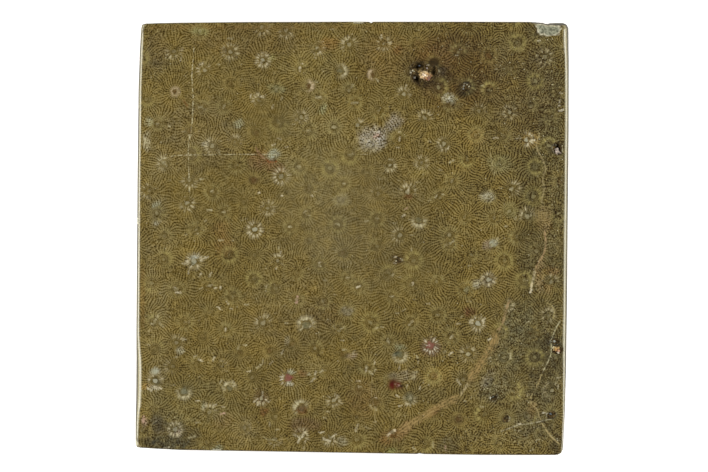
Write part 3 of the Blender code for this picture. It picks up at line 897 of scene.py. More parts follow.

# %% [markdown]
# ## Cracks and seams
#
# Two tan seams cross the right side. They are stylolites, crooked surfaces along which the rock
# dissolved and left clay behind. There are healed cracks too, thin and pale, and rows of calcite
# dots where a crack is only half healed. Each is a line of listed points with a colour, half a
# width and a strength. A corner stores how far to the left or right of the nearest line it is.
# The sign matters: it lets a face that the line crosses pass through zero at the right place.

# %% List the cracks and seams
SEAMS = [
    ("a3946a", 0.22, 0.6, [(54.2, 32), (54.8, 30.4), (53.8, 27.3), (54.6, 24.9), (55.6, 23.5),
        (56.2, 21.8), (56.7, 20.2), (55.8, 17.8), (55.7, 16.6), (56.3, 15.1), (56, 13.1),
        (55.4, 11.5), (55.6, 9.9), (54.2, 8.7)]),
    ("8b7a4c", 1.9, 0.6, [(55.4, 8.9), (55.2, 6.5), (55.6, 4.4)]),
    ("a78c66", 0.24, 0.8, [(56.6, 4.6), (56.4, 1.5), (56.7, -0.6), (56.5, -3.2), (55.6, -5.5),
        (54.1, -7.8), (53.6, -9.4)]),
    ("cbbd98", 0.3, 0.9, [(53.6, -9.4), (53.1, -11.6), (52.4, -14.1), (52.3, -16.2)]),
    ("87764e", 0.16, 0.4, [(58.6, 16.2), (58.5, 13.4), (58.8, 10.3)]),
    ("9e8660", 0.34, 0.9, [(46.1, -17.9), (45.5, -19.6), (44.8, -22.1), (44, -25.1),
        (42.3, -27.6)]),
    ("9a8152", 1.1, 1, [(42.3, -27.6), (41.6, -30.2), (40.3, -33), (38.1, -35.9), (36, -39),
        (34.3, -41.9)]),
    ("b0a078", 0.35, 0.8, [(34.3, -41.9), (33.6, -43.1), (32.3, -44.8), (31.3, -46.4)]),
    ("9c8455", 1, 0.95, [(31.3, -46.4), (28.6, -47.7), (25.5, -49.2), (21.8, -51.5),
        (18.6, -53.5), (15.5, -55.6), (13.5, -57)]),
    ("a9966c", 0.22, 0.8, [(28.8, -47.2), (26, -48.6), (22.4, -50.4), (19.6, -52.4)]),
    ("d3c5a2", 0.34, 0.9, [(10.2, -58), (11, -57), (12.2, -56.2), (13.4, -56.4), (14.3, -57.3)]),
    ("cbc4a0", 0.14, 0.85, [(-46.4, 56), (-46.7, 52), (-47, 47.6), (-46.6, 41), (-46.9, 34),
        (-47.9, 28), (-48.1, 24.4), (-47.8, 18), (-47.7, 13)]),
    ("c4bc98", 0.13, 0.75, [(-56.5, 23), (-52.3, 24.3), (-48, 24.4), (-36, 24.6), (-21, 24.6)]),
    ("b9b08c", 0.11, 0.45, [(-2.7, 24.6), (5.2, 24.6)]),
    ("a89c76", 0.16, 0.25, [(6.5, -36.4), (5.7, -39.3), (5.8, -42), (5.6, -46), (6.5, -49.7),
        (6.7, -53.8)]),
    ("b0a986", 0.16, 0.95, [(61, -24), (60.4, -25), (59.6, -26.3), (58.9, -28.2), (58.3, -29.7),
        (58.3, -32.2), (58.2, -33.9), (57.5, -35.8), (56.5, -37.7), (55.5, -39.8)]),
    ("ab9a6c", 0.2, 0.9, [(55.5, -39.8), (54.7, -42), (53.5, -44.6), (52.4, -46), (52.4, -48.5),
        (54, -50), (55.5, -54), (56.7, -56), (58.2, -58), (60.6, -60.2)]),
    ("b9b293", 0.18, 0.6, [(43.5, -56.6), (46, -55.6), (48.9, -54.6), (52.5, -54.2), (56, -53.4),
        (58.6, -52.8)]),
    ("4a3a1c", 0.12, 0.6, [(61.5, -51.7), (58.5, -53.6), (56.3, -54.8)]),
    ("4a3a1c", 0.12, 0.6, [(58.6, -56.5), (59.5, -57.5), (61.2, -58.4)]),
    ("a2966c", 0.2, 0.45, [(40.3, 25.2), (41, 22), (41, 20), (41.7, 18.2)]),
    ("a2966c", 0.15, 0.5, [(50, 8.2), (50.6, 7.2), (51.3, 6.2)]),
    ("b3aa80", 0.18, 0.55, [(-26.2, -58), (-25, -58.9), (-23.2, -59), (-21.8, -59.5)]),
    ("b3aa80", 0.14, 0.55, [(-48.1, 9.5), (-47.5, 8.4), (-46.8, 7.4)]),
    ("7a4a26", 0.3, 0.5, [(-49.6, 40.6), (-48.8, 39.6), (-48.3, 38.6)]),
    ("7d6238", 0.55, 0.35, [(-60.5, 61.7), (-44, 61.9), (-25, 61.8), (-3, 61.9), (14, 61.7)]),
    ("7d5f33", 0.55, 0.35, [(-61.4, -7.5), (-61.3, -15), (-61.4, -26.5)]),
    ("a89a68", 0.22, 0.55, [(56.5, -18.5), (58.2, -19.4), (59.3, -21.2), (58.8, -23.6)]),
    ("c0b48e", 0.2, 0.55, [(-61.3, 30.6), (-60.8, 28.5), (-61.1, 26.4)]),
    ("80401a", 0.26, 0.85, [(-25.4, 23.2), (-24.4, 22.5), (-23.2, 22.3), (-22, 22.6)]),
    ("94745a", 0.2, 0.6, [(-28.4, 27), (-27.6, 25.2), (-26.2, 23.8), (-25.6, 23.3)]),
]
print(len(SEAMS), "cracks and seams")

# %% [markdown]
# For each spot, the search measures the signed gap to a route and how far inside the route's two
# ends the spot is, so that a seam can fade out at its ends. Each face takes the seam whose edge is
# nearest, and its corners are then measured to that one seam.

# %% Give every face its nearest seam
SEAM_REACH = 3.0


def seam_gaps(spot, route):
    """Signed gap to the route, and how far inside its two ends, for each spot."""
    places = np.array([x + 1j * y for x, y in route])
    lengths = np.abs(np.diff(places))
    starts = np.concatenate(([0.0], np.cumsum(lengths)))
    best = np.full(len(spot), np.inf)
    signed, inside = np.zeros(len(spot)), np.zeros(len(spot))
    for number, length in enumerate(lengths):
        axis = (places[number + 1] - places[number]) / length
        local = (spot - places[number]) * np.conj(axis)
        low = -np.inf if number == 0 else 0.0
        high = np.inf if number == len(lengths) - 1 else length
        reach = np.clip(local.real, low, high)
        gap = np.abs(local - reach)
        along = starts[number] + reach
        left_or_right = np.where(local.imag < 0, -gap, gap)
        from_end = np.minimum(along, starts[-1] - along)
        keep_nearer(gap, best, (signed, left_or_right), (inside, from_end))
    return signed, inside


nearest_gap = np.full(len(face_spot), SEAM_REACH)
nearest_seam = np.full(len(face_spot), -1)
for number, (hex_code, half_width, strength, route) in enumerate(SEAMS):
    signed, inside = seam_gaps(face_spot, route)
    gap = np.abs(signed) - half_width + np.maximum(0, -inside)
    keep_nearer(gap, nearest_gap, (nearest_seam, number))
seam_line = np.tile((SEAM_REACH, -1.0, 0.0), (len(corner_spot), 1))
seam_paint = np.zeros((len(corner_spot), 4))
for number, (hex_code, half_width, strength, route) in enumerate(SEAMS):
    mine = nearest_seam[corner_face] == number
    signed, inside = seam_gaps(corner_spot[mine], route)
    seam_line[mine] = np.c_[signed, inside, np.full(len(signed), half_width)]
    seam_paint[mine] = (*colour(hex_code), strength)
store("seam_line", seam_line)
store("seam_paint", seam_paint)
print(np.count_nonzero(nearest_seam >= 0), "faces beside a crack or seam")

# %% [markdown]
# ## Stains and clouds
#
# The rock's own colour is an even olive brown. Iron has stained it orange and rust red in places,
# and clouds of finer calcite make it grey, yellow or greenish. These are larger than the skin's
# faces, so they are painted straight onto its points, each as a soft ellipse with an uneven rim.
# A stain is its centre, its two half widths, its colour, its strength and, where it is turned, the
# degrees that it is turned by.
# Weak stains are patchy and let the septa show through. Those of 0.85 and up are mineral that
# covers the coral, and the alpha of the tint keeps how much.

# %% List the stains
STONE = "73632f"
STAINS = [
    (0, 5, 26, 22, "766a46", 0.25), (-12, 26, 12, 18, "887b4b", 0.35),
    (-5, 1, 9, 10, "84774c", 0.3), (-12, 52, 11, 10, "83753f", 0.35),
    (49, 13, 6, 9, "5f5530", 0.4), (20, 2, 8, 7, "675a2e", 0.3), (30, -45, 14, 6, "605530", 0.3),
    (-32, -56, 5, 5, "857646", 0.45), (56, -2, 5, 6, "807146", 0.4),
    (-57, -12, 4, 46, "7d7149", 0.3), (-24, -16, 6, 6, "80733f", 0.3),
    (-46, 30, 14, 12, "756844", 0.35), (-18, -22, 14, 14, "6e5e36", 0.3),
    (57, 0, 9, 66, "554d2c", 0.6), (50, 42, 15, 22, "504a28", 0.5),
    (50, -38, 13, 18, "5a5438", 0.35, 20), (10, 53, 9, 8, "765f31", 0.4),
    (30, 49, 14, 13, "523f1c", 0.75), (24, 53, 6, 6, "6b5028", 0.4, 20),
    (31, 57, 7, 5, "4d3e20", 0.3), (50, 43, 12, 18, "665430", 0.35),
    (-57.5, 55, 4, 6, "625640", 0.3), (-30, 58, 20, 5, "6c5a30", 0.4),
    (-6.7, 57, 3.2, 2.2, "85602c", 0.4, 20), (13.2, 55, 1.6, 1.2, "6d4a20", 0.45),
    (-44.6, 60.8, 2.4, 1.6, "97975c", 0.5), (-33.2, 33.6, 1.5, 1.2, "9b9a78", 0.6),
    (-59.6, 34.4, 1.6, 1.6, "9b9a78", 0.5), (-22, 43.9, 3.2, 1.2, "87865c", 0.5, 170),
    (-23.6, 53.2, 1.5, 1.2, "a39a58", 0.6), (-8.6, 38, 1.4, 1.4, "8a8c64", 0.5),
    (28.1, 41.3, 1.7, 1, "b0ab90", 0.75, 10), (29.8, 40.2, 1.2, 0.9, "a5a284", 0.7, 120),
    (26.6, 40.6, 0.9, 0.8, "a09a7c", 0.6), (12.3, 34, 3.1, 2.6, "8c826c", 0.65, 30),
    (-60.2, 28.5, 1.4, 2.8, "a39c7e", 0.6), (-43.1, 27.6, 1.1, 0.9, "a8a080", 0.6),
    (-57.6, 9.9, 1.3, 1.2, "9a9a7c", 0.5), (-57.1, 4.7, 1.2, 1.1, "9a957c", 0.55),
    (-38.5, 2.5, 3.2, 3, "80612e", 0.35), (-27, 23, 4, 3, "6e4c34", 0.4, 20),
    (-23.2, 24.6, 1.9, 1.7, "a6a88c", 0.8), (-24.2, 22.4, 2, 0.8, "6e4022", 0.7, 5),
    (-22.5, 20.6, 3, 1.6, "74502f", 0.4), (-29, 17, 1.6, 1.5, "5a4526", 0.6),
    (-3.3, 11.3, 2.4, 1.6, "8c8466", 0.5), (6.2, 29.4, 4.4, 3.9, "9c937c", 0.8),
    (7.2, 30.2, 1.1, 0.9, "a38876", 0.5), (19.5, 19.3, 3, 2, "867535", 0.45),
    (16.5, 12.2, 1.4, 1, "5f361a", 0.6), (36.1, 30, 3.2, 2.8, "8b743a", 0.6),
    (52.6, 29, 2.6, 2.6, "967b36", 0.5), (43, 22, 4, 3, "7b7a50", 0.35),
    (40, 12.3, 2.2, 1.6, "aba587", 0.75), (38.3, 13.8, 1, 0.9, "3c3420", 0.7),
    (56.3, 5.5, 2.4, 4.2, "8b764e", 0.5), (46.3, 8.2, 2.2, 2.4, "7f7748", 0.5),
    (-46.4, -5.5, 1.3, 0.8, "b2b29c", 0.84), (-46.3, -7.3, 1, 0.8, "8e8e70", 0.8),
    (-37.2, -2.5, 3, 3.6, "846430", 0.35, 20), (-18.9, -29.8, 1.3, 1.1, "958d70", 0.5),
    (-1.5, -21.3, 2, 1.4, "968f74", 0.6, 20), (-7.5, -22, 6, 4, "5c4c2a", 0.4),
    (13.5, -6.3, 2.4, 1.8, "4a3a1e", 0.75), (23, -32.2, 3, 2.6, "6a4a3a", 0.5),
    (39.5, -1.9, 1.8, 1.6, "85766a", 0.6), (41.6, -1.3, 1.4, 1, "a3a58e", 0.8, 30),
    (39.9, -12.1, 2, 1.9, "5a5040", 0.55), (36.4, -13.3, 1.4, 1.1, "a09c84", 0.55),
    (33.2, -15, 1, 0.9, "8d8f6e", 0.6), (34, -21.5, 1.8, 1.6, "56331a", 0.65),
    (48.5, -24, 4.6, 7.5, "5a5434", 0.5, -15), (46.5, -35.5, 5, 3.5, "5a5434", 0.4),
    (59, -9.5, 2.4, 1.4, "856532", 0.45), (55, -11, 1.4, 5.6, "8a7448", 0.55),
    (57.5, -14.8, 1.4, 1.4, "8a7448", 0.5), (58.8, -33.4, 4.2, 5, "45402a", 0.7),
    (55, -31, 3.6, 5, "494228", 0.5), (59.2, -30.3, 2.2, 1.3, "33322c", 0.8),
    (55.6, -37, 4, 6, "524829", 0.6), (52, -55, 7, 5, "564f34", 0.5, 10),
    (-57.7, -39.1, 1.5, 1.1, "b2b29c", 0.95), (-57.6, -41.8, 1.5, 1.3, "4e4a30", 0.75),
    (-58.2, -43.8, 2.2, 0.7, "b3a988", 0.8, 170), (-60.3, -43.4, 1.2, 1, "94742e", 0.6),
    (-50.4, -32.8, 1.3, 1, "a3a086", 0.6), (-49.3, -44.8, 1, 0.9, "8f9074", 0.8),
    (-43.6, -49, 1, 1.3, "9a9c80", 0.7), (-38, -53.4, 3.4, 2.6, "745c36", 0.35, 20),
    (-56.7, -54.5, 2.6, 3.4, "423c2e", 0.75, 20), (-51.5, -56, 3.4, 2.8, "2f2b1f", 0.6),
    (-51, -56.9, 1.1, 0.9, "94846e", 0.8), (-54, -60, 8.5, 2.6, "3c3a2a", 0.8),
    (-46.6, -57, 2.2, 1.6, "524b32", 0.7), (-39.7, -61.5, 2, 0.9, "8b8c6a", 0.6),
    (-61, -53.6, 1.2, 1.8, "957c6a", 0.6), (-18, -41.1, 1, 0.8, "80443a", 0.8),
    (-17.6, -39.3, 1.2, 0.8, "989882", 0.75), (-18.4, -42.6, 1.2, 0.8, "949580", 0.75),
    (-14.7, -39.4, 1.4, 1, "70452a", 0.5), (-12, -37, 4, 3.4, "887842", 0.45),
    (-26.7, -46.8, 2.6, 2.4, "5c4426", 0.55), (-15, -50.1, 1.4, 1.3, "6b431f", 0.7),
    (-26, -50.8, 1.5, 1.2, "6b3d1a", 0.55), (-14, -54.5, 5, 2.4, "5e4834", 0.55),
    (-2.8, -59.8, 1.6, 1.6, "858066", 0.5), (-0.5, -34.5, 1.4, 1.1, "8a7a68", 0.5),
    (-46, -48, 14, 9, "6b6238", 0.4), (13.2, -33.9, 1.5, 1, "484a36", 0.8, 10),
    (14, -31.8, 1.9, 1.1, "7c8064", 0.6), (15, -40.3, 4.4, 1.8, "8b8168", 0.5, 5),
    (12.4, -42.8, 2.3, 1.5, "52180e", 0.98), (14.1, -43, 0.7, 0.6, "1c100a", 0.9),
    (24, -40.5, 4.6, 3.2, "8b7639", 0.55), (24.3, -40.2, 1.1, 1, "9a8050", 0.6),
    (16.8, -46.8, 1.8, 1.8, "6c6748", 0.7), (12.2, -57.8, 4.4, 2, "7c5a2f", 0.6, 20),
    (16, -55.2, 2.8, 1.5, "86683a", 0.5, 30), (23.5, -50.8, 2.6, 1.3, "8e6b36", 0.55, 30),
    (28, -60.4, 3.8, 3, "4a4530", 0.5), (3, -47, 5, 6, "735b2e", 0.45),
    (11.5, -62.2, 2.4, 0.8, "8f9050", 0.6), (31.1, -53, 1.5, 1.3, "553a22", 0.5),
    (52.8, -50, 1.3, 2.4, "8a7040", 0.4), (45, -59.5, 6, 3.8, "7c6e3c", 0.4),
    (60.5, -60.5, 3, 3.4, "4a422a", 0.7), (42.5, -43.5, 4, 5, "5c563a", 0.5, -20),
    (39.2, -41.5, 1.6, 3.4, "7d745c", 0.35, -30), (41.6, -47, 1.3, 1, "54554a", 0.6, 30),
    (58.5, -52, 1.8, 1.4, "3c3c30", 0.7), (45, -52.6, 1.3, 1, "443a22", 0.6, 60),
    (23, 48.5, 6.4, 4.6, "40331c", 0.8, -15), (20.6, 48.5, 4.4, 3.8, "2a200e", 0.84, -15),
    (25.5, 49.6, 2.4, 1.6, "3c3424", 0.7, -20), (60, 26.6, 2.4, 2.6, "3c3420", 0.7),
    (33.6, 43.9, 3.2, 2.6, "2c2716", 0.84, 20), (23.8, 51.5, 1.7, 1.3, "302612", 0.9),
    (53, 60.5, 3, 2.4, "423c26", 0.5),
]
print(len(STAINS), "stains")

# %% [markdown]
# Each ellipse is measured from points that noise has pushed about, which makes its rim uneven. The
# stains stay near the face, so the sides and the back keep the plain colour of the stone.

# %% Paint the stains onto the points
STAIN_DEPTH = 4.0
RIM_UNEVEN = 0.9
RIM_GRAIN = 2.2
RIM_SOFT = (0.55, 1.25)
PATCH_GRAIN = 1.1
PATCH_SHARE = 0.7
COVERING = 0.85

jitter = np.array([noise.noise_vector(Vector(place) / RIM_GRAIN) for place in points])
patch_noise = np.array([noise.noise(Vector(place) / PATCH_GRAIN) for place in points])
point_spot = in_pattern(points) + RIM_UNEVEN * (jitter[:, 0] + 1j * jitter[:, 1])
point_depth = THICKNESS / MM - points[:, 2]


def in_ellipse(x, y, half_x, half_y, turn=0):
    """How far each point is inside a soft ellipse, from 0 outside to 1 well inside."""
    local = (point_spot - (x + 1j * y)) * np.exp(-1j * math.radians(turn))
    rim = np.hypot(local.real / half_x, local.imag / half_y)
    return 1 - smooth(rim, *RIM_SOFT)


shallow = 1 - smooth(point_depth, STAIN_DEPTH / 2, STAIN_DEPTH)
tint = np.tile(colour(STONE), (len(points), 1))
cover = np.zeros(len(points))
for x, y, half_x, half_y, hex_code, strength, *turn in STAINS:
    share = strength * in_ellipse(x, y, half_x, half_y, *turn) * shallow
    share = np.clip(share * (1 + PATCH_SHARE * patch_noise), 0, 1)
    if strength >= COVERING:
        cover = np.maximum(cover, share)
    tint = tint * (1 - share[:, None]) + np.array(colour(hex_code)) * share[:, None]
store("tint", np.c_[tint, cover], "POINT")
print(f"{np.mean(shallow > 0):.0%} of the points are shallow enough for stains")

# %% [markdown]
# In some places the coral has turned to sugary calcite: grains half a millimetre across have grown
# over the septa and blurred them. In others the septa are faint, because the mud between them is
# nearly as pale as they are. Both are listed like stains, with a strength but no colour. Each list
# is stored as one share, and the material breaks up or weakens the septa by it.

# %% List the sugary and the faint places
SUGARY = [
    (42, 50, 8, 7, 0.4), (57, 46, 5, 16, 0.7), (50, 34, 8, 8, 0.25), (59, 8, 3.5, 26, 0.6),
    (30, 57, 12, 4, 0.2), (24, 47, 8, 6, 0.15), (48.5, -25, 5.5, 8.5, 1, -10),
    (45, -34, 6, 5, 0.9), (57.5, -30, 4, 8, 0.7), (40, -43, 6, 5, 0.9, 20), (49, -46, 8, 6, 0.5),
    (57, -43, 5, 7, 0.7), (50, -57, 12, 5, 0.7), (33, -58, 8, 4, 0.5), (-55, -57, 8, 6, 0.7),
    (-58, 52, 4, 9, 0.4), (-8, -22, 7, 5, 0.3), (6.3, 29.5, 6, 5, 0.6), (12.4, 34, 4, 3.5, 0.6),
    (54, -10, 6, 8, 0.5), (58, 26, 5, 8, 0.8), (22, -38, 8, 5, 0.3), (30, -30, 10, 8, 0.3),
]
FAINT = [
    (-30, 0, 72, 200, 0.58), (44, -28, 50, 46, 0.42), (-6, 10, 24, 22, 0.92), (6, -8, 24, 16, 0.8),
    (-24, 34, 11, 9, 0.9), (-42, 14, 20, 13, 0.8), (-32, -20, 26, 14, 0.7),
    (-40, 44, 18, 12, 0.66), (-12, -33, 14, 8, 0.7), (18, 14, 10, 14, 0.66),
    (-36, -54, 10, 8, 0.66),
]


def strongest(places):
    """The strongest share that any of the listed places gives each point."""
    shares = []
    for x, y, half_x, half_y, strength, *turn in places:
        shares.append(strength * in_ellipse(x, y, half_x, half_y, *turn))
    return np.max(shares, axis=0)


store("sugary", strongest(SUGARY), "POINT")
store("faint", strongest(FAINT), "POINT")
print(len(SUGARY), "sugary places,", len(FAINT), "faint ones")

# %% [markdown]
# ## How each part of the surface was made, and where light is painted on its edge
#
# Four finishes meet on the slab. The face and the upper half of its arris are polished, but the
# left and right arrises were ground again by hand, and a pale painted highlight on them adds to
# the cream line that the softboxes draw there. The sides and the back are sawn and ground, and
# stay matt. A dark painted shade runs along the lower half of the arris, where it turns away from
# the light. Chips along the edge are fresh, pale, broken stone, and the hollows on the face are
# little cavities with walls painted dark as shade. Each finish is stored as a share from 0 to 1.

# %% Mark the finishes, the painted highlight and the painted shade
POLISH_SLOPE = (0.62, 0.74)
EDGE_SHADE_DEPTH = (1.4, 3.0)
CHIP_DEPTH = (0.0, 0.6)
ARRIS_SLOPE = (0.12, 0.35)

normals = read(slab_mesh.vertex_normals, "vector", 3)
slope = normals[:, 2]
missing = read(slab_mesh.attributes["broken"].data, "value", 1) / MM
in_hollow = read(slab_mesh.attributes["hollow"].data, "value", 1)
polish = np.where(in_hollow > 0, 1, smooth(slope, *POLISH_SLOPE) * (missing == 0))
# Painted shade: a dark line down the steep lower half of the arris, which turns away from the light.
edge_shade = (1 - smooth(slope, *POLISH_SLOPE)) * (1 - smooth(point_depth, *EDGE_SHADE_DEPTH))
edge_shade *= missing == 0
chip = smooth(missing, *CHIP_DEPTH) * (1 - in_hollow)
# Painted highlight: pale paint on the arris where it faces left or right, towards the softboxes.
arris = smooth(np.abs(normals[:, 0]), *ARRIS_SLOPE) * polish * (missing == 0)
store("finish", np.c_[polish, edge_shade, chip], "POINT")
store("arris_highlight", arris, "POINT")
for name in ("column", "row", "on_face", "broken", "hollow"):
    slab_mesh.attributes.remove(slab_mesh.attributes[name])
print(f"{np.mean(polish > 0.5):.0%} of the points are polished")

# %% [markdown]
# ## The polished limestone
#
# The material puts the stored places together. It is built as a chain of nodes, and one small
# function adds each node, sets it up and links its inputs. Lengths inside the material are in
# millimetres, because the pattern was measured that way.

# %% A helper that adds nodes
MODES = {"Math": "operation", "VectorMath": "operation", "Mix": "data_type"}


def fill(node, values):
    """Give each socket a number, a hex colour, or a link from another node's output."""
    for name, value in values.items():
        if isinstance(value, bpy.types.NodeSocket):
            node.id_data.links.new(value, node.inputs[name])
        else:
            value = (*colour(value), 1) if isinstance(value, str) else value
            node.inputs[name].default_value = value


def add_node(tree, title, *values, out=0, **settings):
    """Add a node and return one of its outputs.

    The title is the kind of node and, for some kinds, its mode. The values fill the sockets that
    the mode shows, in order. Names that start with a capital are sockets, the others are settings.
    """
    kind, *modes = title.split()
    made = tree.nodes.new("ShaderNode" + kind)
    for mode in modes:
        setattr(made, MODES[kind], mode)
    for name, value in settings.items():
        if name[0].islower():
            setattr(made, name, value)
    fill(made, {name: value for name, value in settings.items() if name[0].isupper()})
    shown = [number for number, socket in enumerate(made.inputs) if socket.enabled]
    fill(made, dict(zip(shown, values)))
    if isinstance(out, str):
        return made.outputs[out]
    return [socket for socket in made.outputs if socket.enabled][out]


def new_material(name):
    """A material, the function that adds nodes to it, and its surface shader."""
    material = bpy.data.materials.new(name)
    material.use_nodes = True
    tree = material.node_tree
    return material, partial(add_node, tree), tree.nodes["Principled BSDF"]


print(len(MODES), "kinds of node have a mode")

# %% [markdown]
# The hollows' walls are painted a dark, dull brown, a painted shade for the dark inside of each
# cavity. It is too dull to share the limestone's gloss, so every face that has a corner in a
# hollow gets a plain material of its own. The limestone comes first in the slab's list, and the
# painted hollow shade second.

# %% Paint shade into the hollows
HOLLOW_SHADE_LUMP = 0.5
HOLLOW_SHADE_SPAN = (0.42, 0.66)
HOLLOW_SHADE_DARK, HOLLOW_SHADE_PALE = "292010", "695735"
HOLLOW_ROUGHNESS, HOLLOW_IOR = 1.0, 1.25

# A painted shade: dark, lumpy brown for the walls of the hollows.
hollow_shade, add, hollow_shade_finish = new_material("painted_hollow_shade")
place = add("VectorMath SCALE", add("TexCoord", out="Object"), 1 / MM)
lump = add("TexNoise", place, 1 / HOLLOW_SHADE_LUMP, Detail=3.0)
lump = add("MapRange", lump, *HOLLOW_SHADE_SPAN)
lump = add("Mix RGBA", lump, HOLLOW_SHADE_DARK, HOLLOW_SHADE_PALE)
fill(hollow_shade_finish, {"Base Color": lump, "Roughness": HOLLOW_ROUGHNESS, "IOR": HOLLOW_IOR})

limestone, add, finish = new_material("polished_calcite_limestone")
for material in (limestone, hollow_shade):
    slab_mesh.materials.append(material)
sunk = (in_hollow > 0) & (missing > TOUCHED / MM)
lined = np.bincount(corner_face, sunk[corner_point]) > 0
slab_mesh.polygons.foreach_set("material_index", lined.astype(np.int32))
print(np.count_nonzero(lined), "faces of clay")

# %% [markdown]
# First the limestone finds its place in the leaning pattern, and the distance and the bearing from
# the nearest heart.

# %% Find the place in the pattern
FLAT = (1, 1, 0)

place = add("VectorMath SCALE", add("TexCoord", out="Object"), 1 / MM)
place_z = add("SeparateXYZ", place, out="Z")
depth = add("Math SUBTRACT", THICKNESS / MM, place_z)
spot = add("VectorMath MULTIPLY_ADD", depth, (*LEAN, 1), place)
heart = add("Attribute", out="Vector", attribute_name="heart")
phase, sugar, faint = (
    add("Attribute", out="Fac", attribute_name=name)
    for name in ("septa_phase", "sugary", "faint"))
away = add("VectorMath SUBTRACT", spot, heart)
away = add("VectorMath MULTIPLY", away, FLAT)
away_x, away_y = (add("SeparateXYZ", away, out=axis) for axis in "XY")
radius = add("VectorMath LENGTH", away)
bearing = add("Math ARCTAN2", away_y, away_x)
plates = add("SeparateXYZ", heart, out="Z")
print("the pattern leans by", LEAN, "of the depth")

# %% [markdown]
# The septa are a wave that rises and falls once per septum. Small cross plates, the dissepiments,
# stand in rounds about the heart and tie the septa together, so a second wave runs outward. Where
# both waves are low there is a pore. Noise breaks all this up, and a larger noise makes the septa
# clear in one place and faint in another. Close round the heart the plates have grown together,
# so there the wave fades out.

# %% Draw the septa
NOISE_SPAN = (0.3, 0.7)
BEAD_SIZE = 0.42
BEAD_SPAN, BEAD_SHARE = (0.4, 0.6), (1.5, 0.6)
CLEAR_SPAN, CLEAR_SHARE = (0.36, 0.6), (0.55, 1.15)
CLOUD_SIZE = 3.6
ROUND_GAP = 0.62
ROUND_SHARE = 0.42
ROUND_WANDER = 14.0
HEART_CLEAR = (0.8, 1.6)
SUGAR_LINES = 0.4
SUGAR_GRAINS = 1.7
SUGAR_CONTRAST = 1.35
CLEAR_CONTRAST, FAINT_CONTRAST = 1.7, 0.45
PLATE_SPAN, PORE_SPAN = (-1.5, 1.7), (-0.75, -1.6)
SOFT_EDGE = {"interpolation_type": "SMOOTHSTEP"}

ripple = add("Math COSINE", add("Math MULTIPLY_ADD", bearing, plates, phase))
ripple = add("Math MULTIPLY", ripple, add("MapRange", radius, *HEART_CLEAR, **SOFT_EDGE))
cloud = add("TexNoise", place, 1 / CLOUD_SIZE, Detail=3.0)
beading = add("MapRange", cloud, *BEAD_SPAN, *BEAD_SHARE)
beading = add("Math MULTIPLY", beading, add("MapRange", sugar, 0, 1, 1, SUGAR_GRAINS))
clearness = add("MapRange", cloud, *CLEAR_SPAN, *CLEAR_SHARE)
clearness = add("Math MULTIPLY", clearness, add("MapRange", sugar, 0, 1, 1, SUGAR_LINES))
lines = add("Math MULTIPLY", ripple, clearness)
bead = add("TexNoise", place, 1 / BEAD_SIZE, Detail=2.0)
bead = add("MapRange", bead, *NOISE_SPAN, -1, 1, clamp=False)
beaded = add("Math MULTIPLY_ADD", bead, beading, lines)
rounds = add("TexNoise", place, 1 / CLOUD_SIZE, Detail=1.0)
rounds = add("Math MULTIPLY", rounds, ROUND_WANDER)
rounds = add("Math MULTIPLY_ADD", radius, 2 * math.pi / ROUND_GAP, rounds)
rounds = add("Math COSINE", rounds)
beaded = add("Math MULTIPLY_ADD", rounds, ROUND_SHARE, beaded)
weak = add("MapRange", faint, 0, 1, CLEAR_CONTRAST, FAINT_CONTRAST)
contrast = add("Math MULTIPLY", add("MapRange", sugar, 0, 1, 1, SUGAR_CONTRAST), weak)
beaded = add("Math MULTIPLY", beaded, contrast)
septa_share = add("MapRange", beaded, *PLATE_SPAN, **SOFT_EDGE)
pore = add("MapRange", beaded, *PORE_SPAN, **SOFT_EDGE)
print("septa every", SEPTA_GAP, "mm")

# %% [markdown]
# The gaps between septa are filled with darker, browner mud than the plates, so the tint of the
# stain is multiplied by one factor for a gap and another for a plate. The mud also takes a little
# blue away and the plates' clean calcite adds some. Two larger noises make the whole tone drift,
# one in lightness and one between a warm and a grey hue. Sugary places are greyer and blotchier.

# %% Colour the septa
GAP_FACTOR = (0.43, 0.365, 0.28)
GAP_MUD = (0.0, 0.0, -0.047)
PLATE_FACTOR = (1.41, 1.46, 1.42)
PLATE_CALCITE = (0.0, 0.015, 0.18)
BLACK = (0, 0, 0)
PORE_COLOUR, PORE_STRENGTH = "302005", 0.88
HUE_SIZE, HUE_SPAN = 6.0, (0.36, 0.64)
WARM_FACTOR, GREY_FACTOR = (1.03, 1.00, 0.86, 1), (0.98, 1.0, 1.06, 1)
SUGAR_GREY, FAINT_GREY = 0.35, 0.35
MOTTLE_SIZE, MOTTLE_RANGE = 1.3, (-0.22, 0.22)
SUGAR_BLOTCHES = 1.8
DRIFT_SIZE, DRIFT_RANGE = 9.0, (0.86, 1.14)

tint, cover = (add("Attribute", out=out, attribute_name="tint") for out in ("Color", "Alpha"))
open_coral = add("Math SUBTRACT", 1, cover)
green = add("SeparateColor", tint, out="Green")
mud = add("VectorMath SCALE", GAP_MUD, green)
calcite = add("VectorMath SCALE", PLATE_CALCITE, green)
in_gap = add("VectorMath MULTIPLY_ADD", tint, GAP_FACTOR, mud)
in_gap = add("VectorMath MAXIMUM", in_gap, BLACK)
in_plate = add("VectorMath MULTIPLY_ADD", tint, PLATE_FACTOR, calcite)
paint = add("Mix RGBA", septa_share, in_gap, in_plate)
paint = add("Mix RGBA", add("Math MULTIPLY", pore, PORE_STRENGTH), paint, PORE_COLOUR)
paint = add("Mix RGBA", cover, paint, tint)
hue = add("TexNoise", place, 1 / HUE_SIZE, Detail=4.0)
hue = add("MapRange", hue, *HUE_SPAN)
hue = add("Math MULTIPLY_ADD", sugar, SUGAR_GREY, hue)
hue = add("Math MULTIPLY_ADD", faint, FAINT_GREY, hue)
hue = add("Mix RGBA", hue, WARM_FACTOR, GREY_FACTOR, clamp_factor=False)
paint = add("Mix RGBA", 1, paint, hue, blend_type="MULTIPLY")
